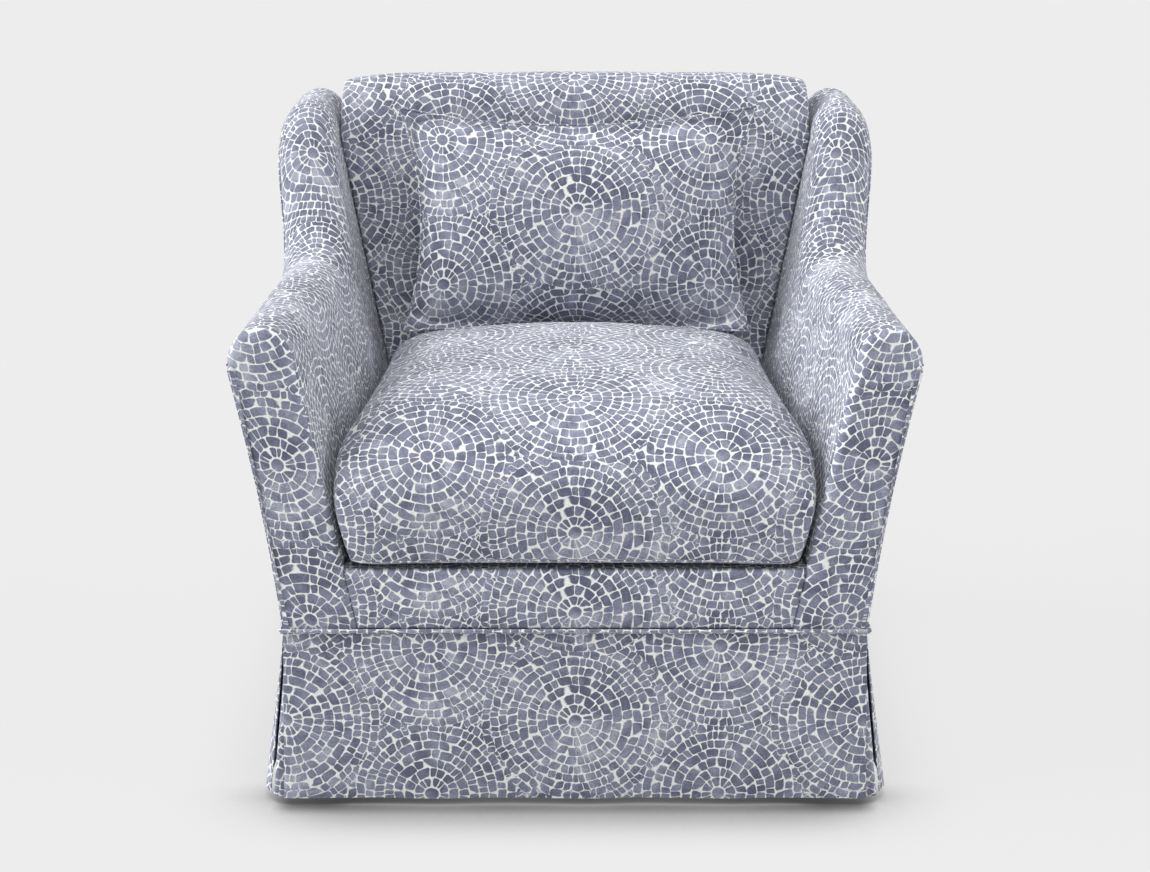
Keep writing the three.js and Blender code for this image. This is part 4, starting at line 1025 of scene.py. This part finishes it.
def bake_modifiers(thing):
    depsgraph = bpy.context.evaluated_depsgraph_get()
    mesh = bpy.data.meshes.new_from_object(thing.evaluated_get(depsgraph))
    old = thing.data
    thing.modifiers.clear()
    thing.data = mesh
    bpy.data.meshes.remove(old)


def stuffed(thing, pressure, cap, voxel=None):
    """Fills a cushion by cloth simulation and holds each point near its start."""
    if voxel:
        remesh = thing.modifiers.new("even", "REMESH")
        remesh.mode, remesh.voxel_size = "VOXEL", voxel
        bake_modifiers(thing)
    start = mesh_points(thing)
    cloth = thing.modifiers.new("fill", "CLOTH")
    for key, value in FILLING.items():
        setattr(cloth.settings, key, value)
    cloth.settings.uniform_pressure_force = pressure
    cloth.settings.effector_weights.gravity = 0
    cloth.collision_settings.use_self_collision = False
    for step in range(1, FRAMES + 1):
        bpy.context.scene.frame_set(step)
    bake_modifiers(thing)
    bpy.context.scene.frame_set(1)
    shift = mesh_points(thing) - start
    length = np.linalg.norm(shift, axis=1, keepdims=True)
    set_points(thing, start + shift * np.minimum(1, cap / np.maximum(length, 1e-9)))
    smooth = thing.modifiers.new("soft", "SMOOTH")
    smooth.factor, smooth.iterations = 0.5, 2
    finer = thing.modifiers.new("finer", "SUBSURF")
    finer.levels = finer.render_levels = 1
    bake_modifiers(thing)
    thing.data.polygons.foreach_set("use_smooth", [True] * len(thing.data.polygons))


def zip_channel(thing, start, end, push, reach):
    """Presses the surface near a line in to the line's own depth, in millimetres."""
    points = mesh_points(thing) / MM
    start, end, push = (np.array(p, float) for p in (start, end, push))
    span = end - start
    share = np.clip((points - start) @ span / (span @ span), 0, 1)
    off = points - start - share[:, None] * span
    depth = -(off @ push)
    apart = np.linalg.norm(off + depth[:, None] * push, axis=1)
    move = np.clip(depth, 0, None) * (depth < 30) * np.exp(-((apart / reach) ** 4))
    set_points(thing, (points + move[:, None] * push) * MM)


def add_zip(name, thing, body, start, end, push, reach):
    """A zip from start to end, in a channel pressed into its cover."""
    zip_channel(thing, start, end, push, reach)
    line = lerp(np.array(start), np.array(end), np.linspace(0, 1, 40)[:, None])
    zip_chain(name, hull_of(thing), line, body)


def add_cloth_map(thing, uv_of):
    """Flat cloth coordinates of each face corner, from its point and its face's normal."""
    mesh = thing.data
    index = np.zeros(len(mesh.loops), np.int32)
    mesh.loops.foreach_get("vertex_index", index)
    points = mesh_points(thing) / MM
    normal = np.zeros(len(mesh.polygons) * 3, np.float32)
    mesh.polygons.foreach_get("normal", normal)
    totals = np.zeros(len(mesh.polygons), np.int32)
    mesh.polygons.foreach_get("loop_total", totals)
    face_normal = np.repeat(normal.reshape(-1, 3), totals, axis=0)
    uv = uv_of(points[index], face_normal)
    layer = mesh.uv_layers.new(name="cloth")
    layer.data.foreach_set("uv", (uv * MM).astype(np.float32).ravel())


def seat_cushion():
    thing = ringed("seat_cushion", *cushion_rings(2.0))
    stuffed(thing, *SEAT_FILL)
    profile, _, crown = cushion_rings(0.0)
    nose = profile[:, CUSHION_NOSE]
    line = np.concatenate([nose, [crown], profile[::-1, CUSHION_TAIL]])[:, 1:]
    run = arc_length(line, 0)
    at_nose = run[np.argmin(np.abs(nose[:, 2] - 340))]

    def uv_of(points, normal):
        """Along the middle line from front to back, apart from the sides and the underside."""
        flat = points[:, 1:]
        best = np.full(len(flat), 1e9)
        place = np.zeros(len(flat))
        for at, a, b in zip(run, line, line[1:]):
            span = b - a
            t = np.clip((flat - a) @ span / max(span @ span, 1e-9), 0, 1)
            gap = np.linalg.norm(flat - (a + t[:, None] * span), axis=1)
            place = np.where(gap < best, at + t * np.linalg.norm(span), place)
            best = np.minimum(gap, best)
        uv = np.stack([points[:, 0], place - at_nose], -1)
        uv = np.where(np.abs(normal[:, :1]) > 0.8, points[:, 1:] + [700, 0], uv)
        return np.where(normal[:, 2:] < -0.8, points[:, :2] + [900, 0], uv)

    add_cloth_map(thing, uv_of)
    nodes = ["seat_cushion_cover", "seat_cushion_foam"]
    finish_piece(thing, "seat_cushion", nodes)
    hull = hull_of(thing)
    edge = profile[np.argmin(np.abs(cushion_levels(1) - CUSHION_SEAM))]
    path = np.array([hull.find_nearest(Vector(point * MM))[0] for point in edge]) / MM
    ridge("cushion_lower_seam", path, SEAM_RADIUS, "seat_cushion", closed=True)
    add_zip("seat_zip", thing, "seat_cushion", *SEAT_ZIP)


def lumbar_pillow():
    points, faces, uv, loop = pillow_cloth()
    thing = new_object("lumbar_pillow", points * MM, faces, uv)
    stuffed(thing, *PILLOW_FILL)
    seam = mesh_points(thing)[loop] / MM
    nodes = ["pillow_cover", "pillow_insert"]
    finish_piece(thing, "lumbar_pillow", nodes)
    ridge("pillow_seam", seam, SEAM_RADIUS, "lumbar_pillow", closed=True)
    add_zip("pillow_zip", thing, "lumbar_pillow", *PILLOW_ZIP)


# Skirt: panels that hang from the seam, with gentle folds
def hanging(name, top_half, hem_half, flare, origin, turn, phase, seed, curl_in=1.6, curl_by=7.0):
    across = lerp(-1, 1, spaced(150, 0.3))[:, None]
    down = np.linspace(0, 1, 44)
    fold = (1 - np.cos(2 * math.pi * across * hem_half / SKIRT_FOLD)) / 2
    half = lerp(top_half, hem_half, down)
    x, z = across * half, lerp(SKIRT_TOP, HEM, down)
    hang = down**1.15
    y = FOLD_DEPTH * hang * fold - flare * down - 0.42 * np.exp(-((down - 0.93) / 0.012) ** 2)
    y = y + 0.8 * hang * uneven(grid(x, y, z) * [1, 1, 0.35], 60, seed)
    inward = (1 - np.abs(across)) * half
    y = y + curl_in * np.exp(-((inward / curl_by) ** 1.6)) * down
    ease = rolled_off(inward, 1.4) * 0.5
    cosine, sine = math.cos(turn), math.sin(turn)

    def placed(y):
        return grid(origin[0] + cosine * x - sine * y, origin[1] + sine * x + cosine * y, z)

    uv = grid(x, z - 109, 0)[..., :2] + np.array(phase)
    thing = shell(name, placed(y + ease), placed(y + SKIRT_CLOTH - ease), uv)
    finish_piece(thing, replaces=[name.replace("_panel", "")])


def pleat_underlay(side_name, end_name, side, end):
    end_y = FRONT_SEAM_Y if end < 0 else REAR_SEAM_Y
    leg = np.linspace(0, 1, 26)
    turn = np.linspace(0, 1, 9)[1:-1] * math.pi / 2

    def outline(offset):
        r = PLEAT_ROUND - offset * 0.5
        rows = []
        for down in np.linspace(0, 1, 34):
            x = HALF_BASE - PLEAT_SET_IN + 23.5 * down - offset
            y = -PLEAT_SET_IN + 3.6 * down - offset
            plan_x = [lerp(x + offset - PLEAT_REACH, x - r, leg), x - r + r * np.sin(turn), x + 0 * leg]
            plan_y = [y + 0 * leg, y - r + r * np.cos(turn), lerp(y - r, y + offset - PLEAT_REACH, leg)]
            x, y = side * np.concatenate(plan_x), end_y + end * np.concatenate(plan_y)
            rows.append(grid(x, y, lerp(SKIRT_TOP, HEM, down)))
        return np.stack(rows, 1)

    front = outline(0.0)
    run = arc_length(front, 0)
    uv = np.stack([run + 200 * side, front[..., 2] + 300 * end], -1)
    name = f"{side_name}_{end_name}_pleat"
    thing = shell(name, front, outline(PLEAT_CLOTH), uv)
    finish_piece(thing, replaces=[f"{name}_underlay"])


def skirt_welt():
    reach = 2.6 + CLEAR
    path = []
    for corner, (side, end) in enumerate([(1, -1), (1, 1), (-1, 1), (-1, -1)]):
        for share in np.linspace(0, 1, 7):
            a = (corner - 1 + share) * math.pi / 2
            x, y = side * HALF_BASE, SKIRT_MIDDLE + end * SKIRT_HALF
            path.append(np.array([x + reach * math.cos(a), y + reach * math.sin(a), SEAM]))
    dense = []
    for a, b in zip(path, path[1:] + path[:1]):
        count = max(1, int(np.linalg.norm(b - a) / WELT_STEP))
        dense.extend(lerp(a, b, q / count) for q in range(count))
    thing = tube("skirt_welt_cover", dense, WELT_RADIUS, closed=True, sides=12, squash=WELT_SQUASH)
    finish_piece(thing, replaces=["skirt_welt"])


skirt_welt()
for side_name, side in (("left", -1), ("right", 1)):
    arm_cover(side_name, side)
    arm_front(side_name, side)
    outside_cover(side_name, side)
    y = lerp(FRONT + 7, BODY_REAR, np.linspace(0, 1, 120))
    line = raked(grid(outer_x(y, edge_at(y)) - 0.6, y, edge_at(y)))
    ridge(f"{side_name}_outer_seam", flip_x(line, side), 1.2)
    z = np.linspace(SEAM + 3, ARM_EDGE - 5, 50)
    line = raked(grid(outer_x(FRONT, z) - 1.1, FRONT + 0.9, z))
    ridge(f"{side_name}_front_seam", flip_x(line, side), 0.9)
outside_back()
border()
inside_back()
seat_deck()
black = MATERIALS["black_cloth"]
laid_cloth("dust_cover", "dust_cover_cloth", DUST_CUTS, DUST_SLACK, black)
for web in ("back_web_lower", "back_web_upper"):
    laid_cloth(web, f"{web}_strap", WEB_CUTS, WEB_SLACK, MATERIALS["webbing"])
seat_cushion()
lumbar_pillow()
TOP_HALF, SIDE_TOP = HALF_BASE - CLEAR, SKIRT_HALF - 3 - CLEAR
hanging("skirt_front_panel", TOP_HALF, TOP_HALF + 6, 6, (0, FRONT_SEAM_Y), 0.0, (0, 0), 31.0)
hanging("skirt_back_panel", TOP_HALF, TOP_HALF + 6, 6, (0, REAR_SEAM_Y), math.pi, (686, 0), 37.0)
for side_name, side in (("left", -1), ("right", 1)):
    hanging(
        f"skirt_{side_name}_panel", SIDE_TOP, SIDE_TOP - 9, 33, (side * HALF_BASE, SKIRT_MIDDLE),
        side * math.pi / 2, (40 + side * 686, 0), 41.0 + side, 8.0, 12.0,
    )
    for end_name, end in (("front", -1), ("back", 1)):
        pleat_underlay(side_name, end_name, side, end)

# Materials of the CAD pieces that stay
for entry in frame["record"]["subparts"]:
    node = frame["nodes"].get(entry["node"])
    if node is not None and entry["material_slot"] in MATERIALS:
        for place in node.material_slots:
            place.link = "OBJECT"
            place.material = MATERIALS[entry["material_slot"]]


# Floor, light and camera
def seen_directly(tree):
    path = tree.nodes.new("ShaderNodeLightPath")
    seen = Num(tree, path.outputs["Is Camera Ray"])
    for ray in ("Is Glossy Ray", "Is Transmission Ray"):
        seen = seen.max(Num(tree, path.outputs[ray]))
    return seen


def away_from(x, y, half, reach):
    """0 inside a rectangle round the origin, and 1 from a distance outside it."""
    over_x, over_y = (x.abs() - half[0]).max(0.0), (y.abs() - half[1]).max(0.0)
    return (over_x * over_x + over_y * over_y).sqrt().step(0.0, reach)


def studio_floor():
    """A pale floor that keeps the chair's real soft shadow, adds painted shadow near and under the
    chair, and is plain paper further off.
    """
    mesh = bpy.data.meshes.new("floor")
    bm = bmesh.new()
    corners = ((-1, -1), (1, -1), (1, 1), (-1, 1))
    bm.faces.new([bm.verts.new((x * FLOOR_REACH, y * FLOOR_REACH, 0)) for x, y in corners])
    bmesh.ops.subdivide_edges(bm, edges=bm.edges[:], cuts=6, use_grid_fill=True)
    bm.to_mesh(mesh)
    bm.free()
    mat, tree, shader = material("floor_paint_and_painted_shadow", 0.9)
    shader.inputs["Specular IOR Level"].default_value = 0.0
    space = object_space(tree)
    x, y, _ = split(tree, space)
    # Painted contact shadow: ambient occlusion darkens the floor's colour near the chair, more in front
    # than at the sides
    near = add_node(tree, "AmbientOcclusion", {"Distance": PAINTED_SHADOW_REACH}, samples=12)
    ahead = (y * -1.0).step(PAINTED_SHADOW_SIDE, PAINTED_SHADOW_FRONT)
    painted_shadow_depth = ahead * (PAINTED_SHADOW_TONES[1] - PAINTED_SHADOW_TONES[0]) + PAINTED_SHADOW_TONES[0]
    painted_shadow = Num(tree, near.outputs["AO"]).step(*PAINTED_SHADOW_OPEN) * (painted_shadow_depth * -1.0 + 1.0) + painted_shadow_depth
    # Painted shadow under the chair: darker inside its footprint, fading out just beyond it
    under = away_from(x, y, FOOTPRINT, PAINTED_UNDER_SHADOW_REACH) * (1 - PAINTED_UNDER_SHADOW_TONE) + PAINTED_UNDER_SHADOW_TONE
    painted_shadow = painted_shadow * under
    cloud = noise_of(tree, space, 3.0, 2.0) * 0.01
    # The floor's colour and the paper's glow both carry the painted shadow
    tone, shade = (cloud + FLOOR_TONE) * painted_shadow, (cloud + BACKGROUND) * painted_shadow
    feed(tree, shader.inputs["Base Color"], combine(tree, tone, tone, tone))
    paper = add_node(tree, "Emission", {"Color": combine(tree, shade, shade, shade)})
    share = away_from(x, y, PAPER_INNER, PAPER_REACH) * (PAPER_SHARES[1] - PAPER_SHARES[0])
    share = seen_directly(tree) * (share + PAPER_SHARES[0])
    inputs = {0: share, 1: shader.outputs[0], 2: paper.outputs[0]}
    blend = add_node(tree, "MixShader", inputs)
    feed(tree, tree.nodes["Material Output"].inputs["Surface"], blend.outputs[0])
    mesh.materials.append(mat)
    add_object("floor", mesh)


def studio_light():
    world = bpy.data.worlds.new("studio")
    bpy.context.scene.world = world
    world.use_nodes = True
    tree = world.node_tree
    strength = seen_directly(tree) * (BACKGROUND - WORLD_LIGHT) + WORLD_LIGHT
    tree.nodes["Background"].inputs["Color"].default_value = (1.0, 1.0, 1.0, 1.0)
    feed(tree, tree.nodes["Background"].inputs["Strength"], strength)
    for name, energy, angle, turn in SUNS:
        light = bpy.data.lights.new(name, "SUN")
        light.energy, light.angle = energy, math.radians(angle)
        add_object(name, light).rotation_euler = [math.radians(a) for a in turn]


def camera():
    data = bpy.data.cameras.new("camera")
    data.sensor_width = SENSOR_WIDTH
    data.lens = SENSOR_WIDTH * FOCAL_PIXELS / PHOTO_WIDTH
    data.clip_end = 100
    thing = add_object("camera", data)
    thing.location = CAMERA_AT
    thing.rotation_euler = (math.radians(90 - CAMERA_DOWN), 0, 0)
    bpy.context.scene.camera = thing
    bpy.context.scene.view_settings.view_transform = "Standard"


studio_floor()
studio_light()
camera()
